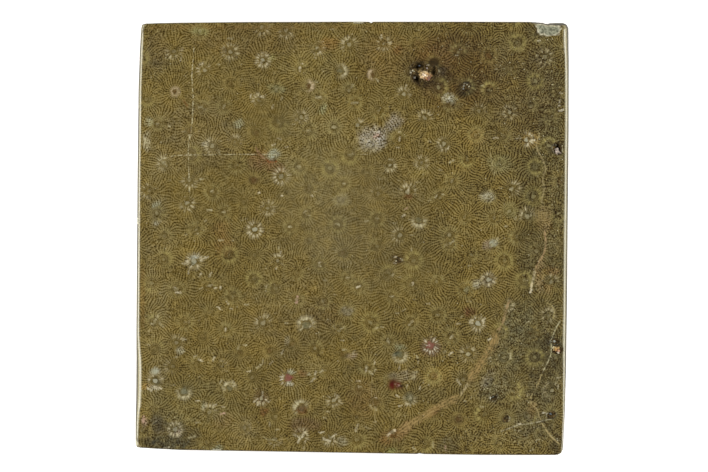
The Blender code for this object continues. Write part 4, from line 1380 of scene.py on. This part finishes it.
mottle = add("TexNoise", place, 1 / MOTTLE_SIZE, Detail=4.0)
mottle = add("MapRange", mottle, *NOISE_SPAN, *MOTTLE_RANGE)
blotchy = add("MapRange", sugar, 0, 1, 1, SUGAR_BLOTCHES)
mottle = add("Math MULTIPLY_ADD", mottle, blotchy, 1)
drift = add("TexNoise", place, 1 / DRIFT_SIZE, Detail=2.0)
drift = add("MapRange", drift, *NOISE_SPAN, *DRIFT_RANGE)
drift = add("Math MULTIPLY", drift, mottle)
paint = add("VectorMath SCALE", paint, drift)
print("gap and plate factors", GAP_FACTOR, PLATE_FACTOR)

# %% [markdown]
# Some specks are too small and too many to place by hand: pinpoints of calcite, dark pores between
# the plates, and the light and dark grains of the sugary places. A Voronoi texture scatters each
# kind, one in each cell, and the cell's own random colour decides whether its speck is there.

# %% Scatter the specks
# gap, size, odds, colour, strength in plain coral, strength in sugary coral
SPECKS = [
    (0.72, 0.40, 0.55, "3a2b0c", 0.65, 1.0), (1.25, 0.30, 0.35, "35290f", 0.8, 1.1),
    (0.95, 0.24, 0.45, "a09468", 0.7, 1.0), (1.4, 0.13, 0.40, "c9c1a0", 0.8, 1.4),
    (0.53, 0.36, 0.70, "989168", 0.0, 0.9), (0.61, 0.30, 0.55, "2f2b14", 0.0, 0.7),
    (0.9, 0.24, 0.35, "bdb694", 0.0, 1.0),
]
SPECK_CORE = 0.45


def scatter(paint, gap, size, odds, hex_code, plain, sugary):
    """Paint soft dots of one colour, in a random share of cells that are a gap wide."""
    distance = add("TexVoronoi", place, 1 / gap)
    dot = add("MapRange", distance, size, size * SPECK_CORE, **SOFT_EDGE)
    chance = add("SeparateColor", add("TexVoronoi", place, 1 / gap, out="Color"))
    lucky = add("MapRange", chance, 1 - odds, 1)
    strength = add("MapRange", sugar, 0, 1, plain, sugary)
    for share in (lucky, open_coral, weak):
        dot = add("Math MULTIPLY", dot, share)
    dot = add("Math MULTIPLY", dot, strength, use_clamp=True)
    return add("Mix RGBA", dot, paint, hex_code)


for speck in SPECKS:
    paint = scatter(paint, *speck)
print(len(SPECKS), "kinds of speck")

# %% [markdown]
# The ring of petals is strongest at one distance from the heart and falls off like a bell curve,
# steeply inward and slowly outward, where the petals draw out into pale rays. The disc inside the
# ring is a little darker than the coral around it.

# %% Shape the rings
RIM_GRAIN_SIZE = 0.9
RIM_WANDER = (-0.3, 0.3)
DISC_SPAN, DISC_FACTOR = (0.6, 0.9), 0.88
PETAL_INSIDE, PETAL_OUTSIDE = 0.38, 0.38

ring_shape, middle_shape = (
    add("Attribute", out="Vector", attribute_name=name) for name in ("ring", "middle"))
ring_colour, middle_colour = (
    add("Attribute", out="Color", attribute_name=name) for name in ("ring_paint", "middle_paint"))
ring_closed = add("Attribute", out="Alpha", attribute_name="ring_paint")
ring_radius, middle_radius, middle_strength = (
    add("SeparateXYZ", middle_shape, out=axis) for axis in "XYZ")
ring_strength = add("SeparateXYZ", ring_shape, out="X")
patchy = add("TexNoise", place, 1 / RIM_GRAIN_SIZE, Detail=1.0)
uneven = add("MapRange", patchy, *NOISE_SPAN, *RIM_WANDER, clamp=False)
shade = add("Math DIVIDE", radius, ring_radius)
shade = add("MapRange", shade, *DISC_SPAN, DISC_FACTOR, 1, **SOFT_EDGE)
paint = add("VectorMath SCALE", paint, shade)
off_ring = add("Math SUBTRACT", radius, ring_radius)
off_ring = add("Math ADD", off_ring, uneven)
inside = add("Math MULTIPLY", off_ring, -1 / PETAL_INSIDE)
outside = add("Math DIVIDE", off_ring, ring_radius)
outside = add("Math MULTIPLY", outside, 1 / PETAL_OUTSIDE)
off_ring = add("Math MAXIMUM", inside, outside)
bell = add("Math MULTIPLY", off_ring, off_ring)
bell = add("Math MULTIPLY", bell, -1)
bell = add("Math EXPONENT", bell)
print("petals reach", PETAL_OUTSIDE, "of the radius beyond the ring")

# %% [markdown]
# A wave with half as many turns as there are septa cuts the ring into petals, one on each long
# plate. A noise that changes with the bearing, and hardly with the distance, makes some of them
# thick and leaves others out. Some rings close into a band instead.

# %% Cut the rings into petals
PETAL_TURNS = (3.4, 3.4, 3.4)
PETAL_LENGTH = 2.5
THICK_RANGE = (-1.5, 1.5)
WAVE_SHARE = 0.55
PETAL_SPAN = (-0.05, 0.75)
PRESENT_SPAN = (0.30, 0.52)
CLOSED_SPAN = (0.3, 0.65)
LEAST_PRESENT = 0.25

unit = add("VectorMath NORMALIZE", away)
ray = add("CombineXYZ", Z=add("Math MULTIPLY", radius, 1 / PETAL_LENGTH))
ray = add("VectorMath MULTIPLY_ADD", unit, PETAL_TURNS, ray)
ray = add("VectorMath ADD", ray, heart)
thick = add("TexNoise", ray, 1, Detail=2.0)
thick = add("MapRange", thick, *NOISE_SPAN, *THICK_RANGE, clamp=False)
half_plates = add("Math FLOOR", add("Math MULTIPLY", plates, 0.5))
petal = add("Math COSINE", add("Math MULTIPLY_ADD", bearing, half_plates, phase))
petal = add("Math MULTIPLY_ADD", petal, WAVE_SHARE, thick)
petal = add("MapRange", petal, *PETAL_SPAN, **SOFT_EDGE)
present = add("MapRange", patchy, *PRESENT_SPAN, LEAST_PRESENT, **SOFT_EDGE)
petal = add("Math MULTIPLY", petal, present)
closed = add("MapRange", patchy, *CLOSED_SPAN, LEAST_PRESENT, 1)
petal = add("Mix", ring_closed, petal, closed)
print("petals fade over about", PETAL_LENGTH, "mm")

# %% [markdown]
# A ring that is brightest on one side is multiplied by 1 plus the part of its facing vector that
# points the same way as the spot's own bearing. The spot in the middle is a soft circle with an
# uneven rim.

# %% Paint the rings and the middles
MIDDLE_SPAN = (1.35, 0.65)

unit_x, unit_y = (add("SeparateXYZ", unit, out=axis) for axis in "XY")
lobe = add("VectorMath MULTIPLY", ring_shape, (0, 1, 1))
lobe = add("VectorMath ADD", lobe, (1, 0, 0))
facing = add("VectorMath DOT_PRODUCT", lobe, add("CombineXYZ", 1, unit_x, unit_y))
ring = add("Math MULTIPLY", bell, petal)
ring = add("Math MULTIPLY", ring, facing)
ring = add("Math MULTIPLY", ring, ring_strength, use_clamp=True)
ring = add("Math MULTIPLY", ring, open_coral)
paint = add("Mix RGBA", ring, paint, ring_colour)
off_middle = add("Math ADD", radius, uneven)
off_middle = add("Math DIVIDE", off_middle, middle_radius)
middle = add("MapRange", off_middle, *MIDDLE_SPAN, **SOFT_EDGE)
for share in (middle_strength, open_coral):
    middle = add("Math MULTIPLY", middle, share)
paint = add("Mix RGBA", middle, paint, middle_colour)
print(len(RING_KINDS), "kinds of ring")

# %% [markdown]
# The seams are drawn from their stored lines. Noise pushes each edge in and out by a fraction of
# a millimetre, since no crack in a rock has a ruled edge. Wide seams are streaked along their
# length, and the thinnest cracks are only healed here and there, so they show as rows of dashes.

# %% Draw the seams
EDGE_GRAIN = 0.7
SEAM_UNEVEN = (-0.35, 0.35)
STREAK_GAP, STREAK_WANDER = 0.85, 9.0
STREAK_SPAN, STREAK_RANGE = (-0.6, 0.8), (0.45, 1.25)
STREAKY_WIDTHS = (0.4, 0.9)
SEAM_SPAN, SEAM_END_SPAN = (1.6, 0.4), (-0.6, 1.0)
END_WIDTHS, END_LENGTHS = (0.3, 1.0), (0.5, 1.6)
BEAD_BREAK = 0.16
BREAK_SPAN, BREAK_RANGE = (0.82, 1.12), (0.2, 1.0)
DASH = 0.9
DASH_SPAN, DASH_RANGE = (0.44, 0.56), (0.08, 1.0)
THIN_CRACK = (0.14, 0.16)

rough = add("TexNoise", place, 1 / EDGE_GRAIN, Detail=3.0)
seam_line = add("Attribute", out="Vector", attribute_name="seam_line")
seam_colour, seam_strength = (
    add("Attribute", out=out, attribute_name="seam_paint") for out in ("Color", "Alpha"))
seam_gap, seam_inside, seam_half = (add("SeparateXYZ", seam_line, out=axis) for axis in "XYZ")
streak = add("Math MULTIPLY", cloud, STREAK_WANDER)
streak = add("Math MULTIPLY_ADD", seam_gap, 2 * math.pi / STREAK_GAP, streak)
streak = add("MapRange", add("Math COSINE", streak), *STREAK_SPAN, *STREAK_RANGE)
streaky = add("MapRange", seam_half, *STREAKY_WIDTHS)
streak = add("Mix", streaky, 1, streak)
push = add("MapRange", rough, *NOISE_SPAN, *SEAM_UNEVEN, clamp=False)
seam_gap = add("Math DIVIDE", add("Math ABSOLUTE", seam_gap), seam_half)
seam_gap = add("Math ADD", seam_gap, push)
seam = add("MapRange", seam_gap, *SEAM_SPAN, **SOFT_EDGE)
end_length = add("MapRange", seam_half, *END_WIDTHS, *END_LENGTHS)
ends = add("Math DIVIDE", seam_inside, end_length)
ends = add("MapRange", ends, *SEAM_END_SPAN, **SOFT_EDGE)
broken_up = add("Math MULTIPLY_ADD", bead, BEAD_BREAK, mottle)
broken_up = add("MapRange", broken_up, *BREAK_SPAN, *BREAK_RANGE)
dash = add("TexNoise", place, 1 / DASH, Detail=1.0)
dash = add("MapRange", dash, *DASH_SPAN, *DASH_RANGE)
thin = add("MapRange", seam_half, *THIN_CRACK, 1, 0)
dash = add("Mix", thin, 1, dash)
for share in (ends, seam_strength, broken_up, dash):
    seam = add("Math MULTIPLY", seam, share)
seam = add("Math MULTIPLY", seam, streak, use_clamp=True)
paint = add("Mix RGBA", seam, paint, seam_colour)
print(len(SEAMS), "seams in", len(limestone.node_tree.nodes), "nodes so far")

# %% [markdown]
# A grain is drawn in the same way, from its distance to the blade's own line. A finer noise breaks
# its edge, and another leaves crumbs out of it.

# %% Draw the grains
GRAIN_UNEVEN = (-0.22, 0.22)
GRAIN_SPAN = (0.26, -0.14)
DRAWN_WIDTH = (0.0, 0.1)
GRAIN_BREAK = 0.45
CRUMB_SPAN, CRUMB_RANGE = (0.35, 0.6), (0.15, 1.0)

grain_place, grain_way = (
    add("Attribute", out="Vector", attribute_name=name) for name in ("grain_place", "grain_way"))
grain_colour, grain_clear = (
    add("Attribute", out=out, attribute_name="grain_paint") for out in ("Color", "Alpha"))
half_length, half_width = (
    add("SeparateXYZ", shape, out="Z") for shape in (grain_place, grain_way))
blade = add("VectorMath MULTIPLY", grain_way, FLAT)
from_grain = add("VectorMath SUBTRACT", spot, grain_place)
from_grain = add("VectorMath MULTIPLY", from_grain, FLAT)
along = add("VectorMath DOT_PRODUCT", from_grain, blade)
along = add("Clamp", along, add("Math MULTIPLY", half_length, -1), half_length)
foot = add("VectorMath SCALE", blade, along)
grain_gap = add("VectorMath DISTANCE", from_grain, foot)
push = add("MapRange", rough, *NOISE_SPAN, *GRAIN_UNEVEN, clamp=False)
grain_gap = add("Math ADD", grain_gap, push)
grain_gap = add("Math SUBTRACT", grain_gap, half_width)
grain = add("MapRange", grain_gap, *GRAIN_SPAN, **SOFT_EDGE)
drawn = add("MapRange", half_width, *DRAWN_WIDTH)
crumbly = add("TexNoise", place, 1 / GRAIN_BREAK, Detail=1.0)
crumbly = add("MapRange", crumbly, *CRUMB_SPAN, *CRUMB_RANGE)
for share in (crumbly, grain_clear, drawn):
    grain = add("Math MULTIPLY", grain, share)
paint = add("Mix RGBA", grain, paint, grain_colour)
print(len(limestone.node_tree.nodes), "nodes so far")

# %% [markdown]
# Last come the finishes. Polishing deepens a stone's colour, as wetting it does, so the ground
# sides and back are the same stone, paler and greyer. The left and right arrises get a pale
# painted highlight, and the lower half of the face's arris a dark painted shade. Fine arcs run
# across the back where the saw passed, and level lines along the sides. Calcite bends light
# strongly for a stone, with an IOR near 1.6, which gives the polished arris its bright line.

# %% Finish the surfaces
SAW_GAP = 2.4
SAW_SCALE = 0.3 / SAW_GAP
SAW_BEND, SAW_DETAIL, SAW_DETAIL_SCALE = 3.0, 3.0, 0.4
SAW_SHARE = 0.5
RELIEF_STRENGTH, RELIEF_HEIGHT = 0.35, 0.12 * MM
# A pale painted highlight for the left and right arrises, and a dark painted shade for the lower
# arris.
ARRIS_HIGHLIGHT_SHARE, ARRIS_HIGHLIGHT_COLOUR = 0.6, "b9b392"
GROUND_PALE, GROUND_COLOUR = 0.45, "8d8670"
EDGE_SHADE_DARK, EDGE_SHADE_COLOUR = 0.92, "302b1e"
GRIT_SIZE, GRIT_SPAN = 0.5, (0.35, 0.65)
INNER_COLOURS, OUTER_COLOURS = ("5c5e4a", "a6a890"), ("94907a", "d2cdb0")
DEEP_SPAN = (0.35, 0.9)
CHIP_SPAN, CHIP_COVER = (0.01, 0.06), 0.9
GROUND_ROUGHNESS, POLISHED_ROUGHNESS = 0.60, 0.20
CALCITE_IOR = 1.6

finish_and_edge_shade = add("Attribute", out="Vector", attribute_name="finish")
polished, edge_shade, chipped = (add("SeparateXYZ", finish_and_edge_shade, out=axis) for axis in "XYZ")
ground = add("Math SUBTRACT", 1, polished)
arris_highlight = add("Attribute", out="Fac", attribute_name="arris_highlight")
# Mix in the painted arris highlight, the ground stone's paler grey and the painted edge shade.
for share, strength, hex_code in (
        (arris_highlight, ARRIS_HIGHLIGHT_SHARE, ARRIS_HIGHLIGHT_COLOUR), (ground, GROUND_PALE, GROUND_COLOUR),
        (edge_shade, EDGE_SHADE_DARK, EDGE_SHADE_COLOUR)):
    paint = add("Mix RGBA", add("Math MULTIPLY", share, strength), paint, hex_code)
grit = add("TexNoise", place, 1 / GRIT_SIZE, Detail=3.0)
gritty = add("MapRange", grit, *GRIT_SPAN, **SOFT_EDGE)
inner = add("Mix RGBA", gritty, *INNER_COLOURS)
outer = add("Mix RGBA", gritty, *OUTER_COLOURS)
deep = add("MapRange", chipped, *DEEP_SPAN, **SOFT_EDGE)
fresh = add("Mix RGBA", deep, outer, inner)
chipped_share = add("MapRange", chipped, *CHIP_SPAN, 0, CHIP_COVER)
paint = add("Mix RGBA", chipped_share, paint, fresh)
gloss = add("MapRange", polished, 0, 1, GROUND_ROUGHNESS, POLISHED_ROUGHNESS)

saw = add("TexWave", place, SAW_SCALE, SAW_BEND, SAW_DETAIL, SAW_DETAIL_SCALE, out="Fac",
    bands_direction="Z")
relief = add("Math MULTIPLY_ADD", saw, SAW_SHARE, grit)
relief = add("Math MULTIPLY", relief, ground)
bump = add("Bump", Strength=RELIEF_STRENGTH, Distance=RELIEF_HEIGHT, Height=relief)
fill(finish, {"Base Color": paint, "Roughness": gloss, "IOR": CALCITE_IOR, "Normal": bump})
print(len(limestone.node_tree.nodes), "nodes in", limestone.name)

# %% [markdown]
# ## Crystals in the hollows
#
# Calcite grew in the hollows before the stone was cut. It splits into lopsided blocks, so each
# crystal starts as a cube, is pushed out of true, tilted a little and bevelled. It stands on the
# hollow's floor and ends a little below the polished face. Iron stained some of them peach to
# rust. They are listed as a centre, half a width and a colour.

# %% Grow the crystals
CRYSTALS = [
    (21, 48, 0.6, "f0dcc0"), (20.4, 48.5, 0.5, "c4a878"), (21.6, 48.6, 0.45, "d0b488"),
    (22.4, 46.9, 0.5, "7c4c2c"), (22.9, 47.7, 0.45, "8e6c44"), (21.5, 47.1, 0.45, "b08458"),
    (19.7, 48.9, 0.4, "8c7444"), (20.4, 47.4, 0.45, "ccb084"), (17.7, 49.2, 0.2, "cac2a6"),
    (18.1, 49, 0.16, "a9a284"), (21.9, 50.8, 0.22, "b4a69a"), (21.9, 49.9, 0.2, "a09086"),
    (22.3, 48.1, 0.45, "a88458"), (21.9, 47.6, 0.4, "dcc09a"), (19.9, 48, 0.4, "a88c5c"),
    (21.2, 47.6, 0.4, "f0e2ca"), (22, 46.6, 0.35, "86542e"), (20, 49.2, 0.3, "74603a"),
    (20.9, 48.7, 0.35, "bca47c"), (22.8, 48.4, 0.3, "7c6840"), (21, 46.8, 0.35, "8c6a42"),
    (19.6, 50.7, 0.15, "5c6068"), (18.2, 47.2, 0.3, "4c4026"), (32.6, 44.6, 0.22, "8f8c7a"),
    (32.5, 43.9, 0.22, "78766a"), (33.6, 45.1, 0.18, "a39c7e"), (34.2, 44.5, 0.2, "aaa384"),
    (34.6, 43.9, 0.18, "8f8868"), (60.05, 26.1, 0.42, "b4a69a"), (59.7, 25.4, 0.42, "a8988c"),
    (60.4, 25.3, 0.42, "b9ab9c"), (59.9, 24.9, 0.32, "988a7c"), (60.9, 25, 0.28, "7c6e62"),
    (59.6, 27.3, 0.22, "4c4836"), (58.8, -31.9, 0.36, "cbbd90"), (59.5, -32, 0.34, "c9ad74"),
    (59.8, -32.7, 0.36, "b88c54"), (60.5, -32.9, 0.36, "a06a34"), (60.4, -32.1, 0.34, "c2a064"),
    (60.4, -33.5, 0.3, "e8dcc0"), (59.1, -32.6, 0.3, "9c8250"), (59.3, -30.2, 0.35, "949588"),
    (58.4, -30.2, 0.22, "70705f"), (58.1, -51.4, 0.32, "565e60"), (56.6, -51.3, 0.22, "cac4ac"),
    (41.2, -46.4, 0.25, "55574a"), (12.8, -6.6, 0.22, "a69d7c"), (14.1, -5.9, 0.18, "968d6c"),
    (45.2, -52.7, 0.25, "5f5232"),
]
CRYSTAL_SEED = 5
CRYSTAL_TILT = math.radians(24)
CRYSTAL_SKEW = 0.30
CRYSTAL_TOP = 0.3
CRYSTAL_BEVEL = 0.10

grow = np.random.default_rng(CRYSTAL_SEED)
crystals = bmesh.new()
crystal_paint = crystals.verts.layers.float_color.new("crystal_paint")


def grow_crystal(x, y, half_width, hex_code):
    """Stand one lopsided block on the hollow's floor; lengths are in metres."""
    floor = touch(Vector((x, y, THICKNESS / 2)), Z_AXIS).z
    depth = THICKNESS - floor
    top = THICKNESS - depth * CRYSTAL_TOP
    half_height = max(half_width, (top - floor + depth * HOLLOW_EXTRA) / 2)
    half_height = min(half_height, THICKNESS / 4)
    tilt = Euler((*grow.uniform(-CRYSTAL_TILT, CRYSTAL_TILT, 2), grow.uniform(0, math.pi)))
    size = Matrix.Diagonal((half_width, half_width, half_height, 1))
    centre = Matrix.Translation((x, y, top - half_height))
    place = centre @ tilt.to_matrix().to_4x4() @ size
    block = bmesh.ops.create_cube(crystals, size=2.0, matrix=place)["verts"]
    for corner in block:
        corner.co += Vector(grow.uniform(-1, 1, 3)) * CRYSTAL_SKEW * half_width
    edges = list(dict.fromkeys(edge for corner in block for edge in corner.link_edges))
    made = bmesh.ops.bevel(crystals, geom=block + edges, offset=CRYSTAL_BEVEL * half_width,
        segments=1, profile=0.5, material=-1, affect="EDGES")
    for corner in made["verts"]:
        corner[crystal_paint] = (*colour(hex_code), 1)
        corner.co.z = min(corner.co.z, THICKNESS - TOUCHED)


for x, y, half_width, hex_code in CRYSTALS:
    grow_crystal(x * MM, y * MM, half_width * MM, hex_code)
crystal_piece = put_shape("calcite_crystals", crystals)
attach(crystal_piece, "root")
print(len(CRYSTALS), "crystals,", len(crystal_piece.data.polygons), "faces")

# %% [markdown]
# Clean calcite is nearly clear, with cloudy patches, and its faces are smoother than the stone.

# %% Colour the crystals
CLOUD_IN_CRYSTAL = 0.35
CRYSTAL_SPAN, CRYSTAL_SHADE = (0.35, 0.65), (0.5, 1.35)
CRYSTAL_ROUGHNESS = 0.45

spar, add, spar_finish = new_material("cloudy_calcite_spar")
place = add("VectorMath SCALE", add("TexCoord", out="Object"), 1 / MM)
cloudy = add("TexNoise", place, 1 / CLOUD_IN_CRYSTAL, Detail=2.0)
shade = add("MapRange", cloudy, *CRYSTAL_SPAN, *CRYSTAL_SHADE)
paint = add("Attribute", out="Color", attribute_name="crystal_paint")
paint = add("VectorMath SCALE", paint, shade)
fill(spar_finish, {"Base Color": paint, "Roughness": CRYSTAL_ROUGHNESS, "IOR": CALCITE_IOR})
crystal_piece.data.materials.append(spar)
print(spar.name, "on", crystal_piece.name)

# %% [markdown]
# ## The table, the light and the camera
#
# Stone samples are often shown on a white table that is lit from within, which takes away the
# shadow. A little is left here, close to the stone, so that it still sits on something.

# %% The light table
TABLE_SIZE = 8.0
TABLE_GREY, TABLE_GLOW = (0.86, 0.86, 0.86, 1), 0.55
TABLE_ROUGHNESS = 0.9
WHITE = (1, 1, 1, 1)

table_shape = bmesh.new()
bmesh.ops.create_grid(table_shape, x_segments=1, y_segments=1, size=TABLE_SIZE / 2)
table = put_shape("light_table", table_shape)
opal, add, opal_finish = new_material("opal_acrylic_table")
table.data.materials.append(opal)
fill(opal_finish, {"Base Color": TABLE_GREY, "Roughness": TABLE_ROUGHNESS,
    "Emission Color": WHITE, "Emission Strength": TABLE_GLOW})
print("table", TABLE_SIZE, "m wide")

# %% [markdown]
# Two softboxes stand low to the left and right. From above, the flat face shows none of their
# glare, but the rounded arrises along those two sides each catch one, as a cream line. The boxes
# end where the lines fade: the left one reaches further towards the near side, the right one
# further towards the far side. The world is dim, so it only fills the shadows.

# %% The softboxes and the world
BOX_DISTANCE = 0.5
BOX_TILT = math.radians(32)
BOX_HEIGHT = 0.50
SOFTBOX_RADIANCE = 8.0
WARM_WHITE = (1.0, 0.985, 0.93)
WORLD_FILL, WORLD_SEEN = 0.10, 0.9


def softbox(name, side, near_end, far_end):
    light = bpy.data.lights.new(name, "AREA")
    light.shape = "RECTANGLE"
    light.size = far_end - near_end
    light.size_y = BOX_HEIGHT
    light.energy = SOFTBOX_RADIANCE * math.pi * light.size * light.size_y
    light.color = WARM_WHITE
    lamp = put(name, light)
    out = side * BOX_DISTANCE * math.cos(BOX_TILT)
    up = BOX_DISTANCE * math.sin(BOX_TILT)
    lamp.location = (out, (near_end + far_end) / 2, THICKNESS + up)
    lamp.rotation_euler = Vector((-out, 0, -up)).to_track_quat("-Z", "X").to_euler()
    lamp.visible_camera = False


softbox("left_softbox", side=-1, near_end=-0.150, far_end=0.085)
softbox("right_softbox", side=1, near_end=-0.062, far_end=0.150)
world = bpy.data.worlds.new("dim_studio")
world.use_nodes = True
bpy.context.scene.world = world
seen = add_node(world.node_tree, "LightPath", out="Is Camera Ray")
bright = add_node(world.node_tree, "MapRange", seen, 0, 1, WORLD_FILL, WORLD_SEEN)
fill(world.node_tree.nodes["Background"], {"Color": WHITE, "Strength": bright})
bpy.context.scene.view_settings.view_transform = "Standard"
print("softboxes at", round(math.degrees(BOX_TILT)), "degrees")

# %% [markdown]
# The camera looks straight down. A long lens keeps the slab's sides out of view.

# %% The camera
FRAME_WIDTH = 207.4 * MM
FRAME_CENTRE = (0.5 * MM, 0.7 * MM)
LENS, SENSOR = 100.0, 36.0

camera_data = bpy.data.cameras.new("camera")
camera_data.lens = LENS
camera_data.sensor_width = SENSOR
camera = put("camera", camera_data)
camera.location = (*FRAME_CENTRE, THICKNESS + FRAME_WIDTH * LENS / SENSOR)
bpy.context.scene.camera = camera
print(f"camera {camera.location.z:.3f} m up")
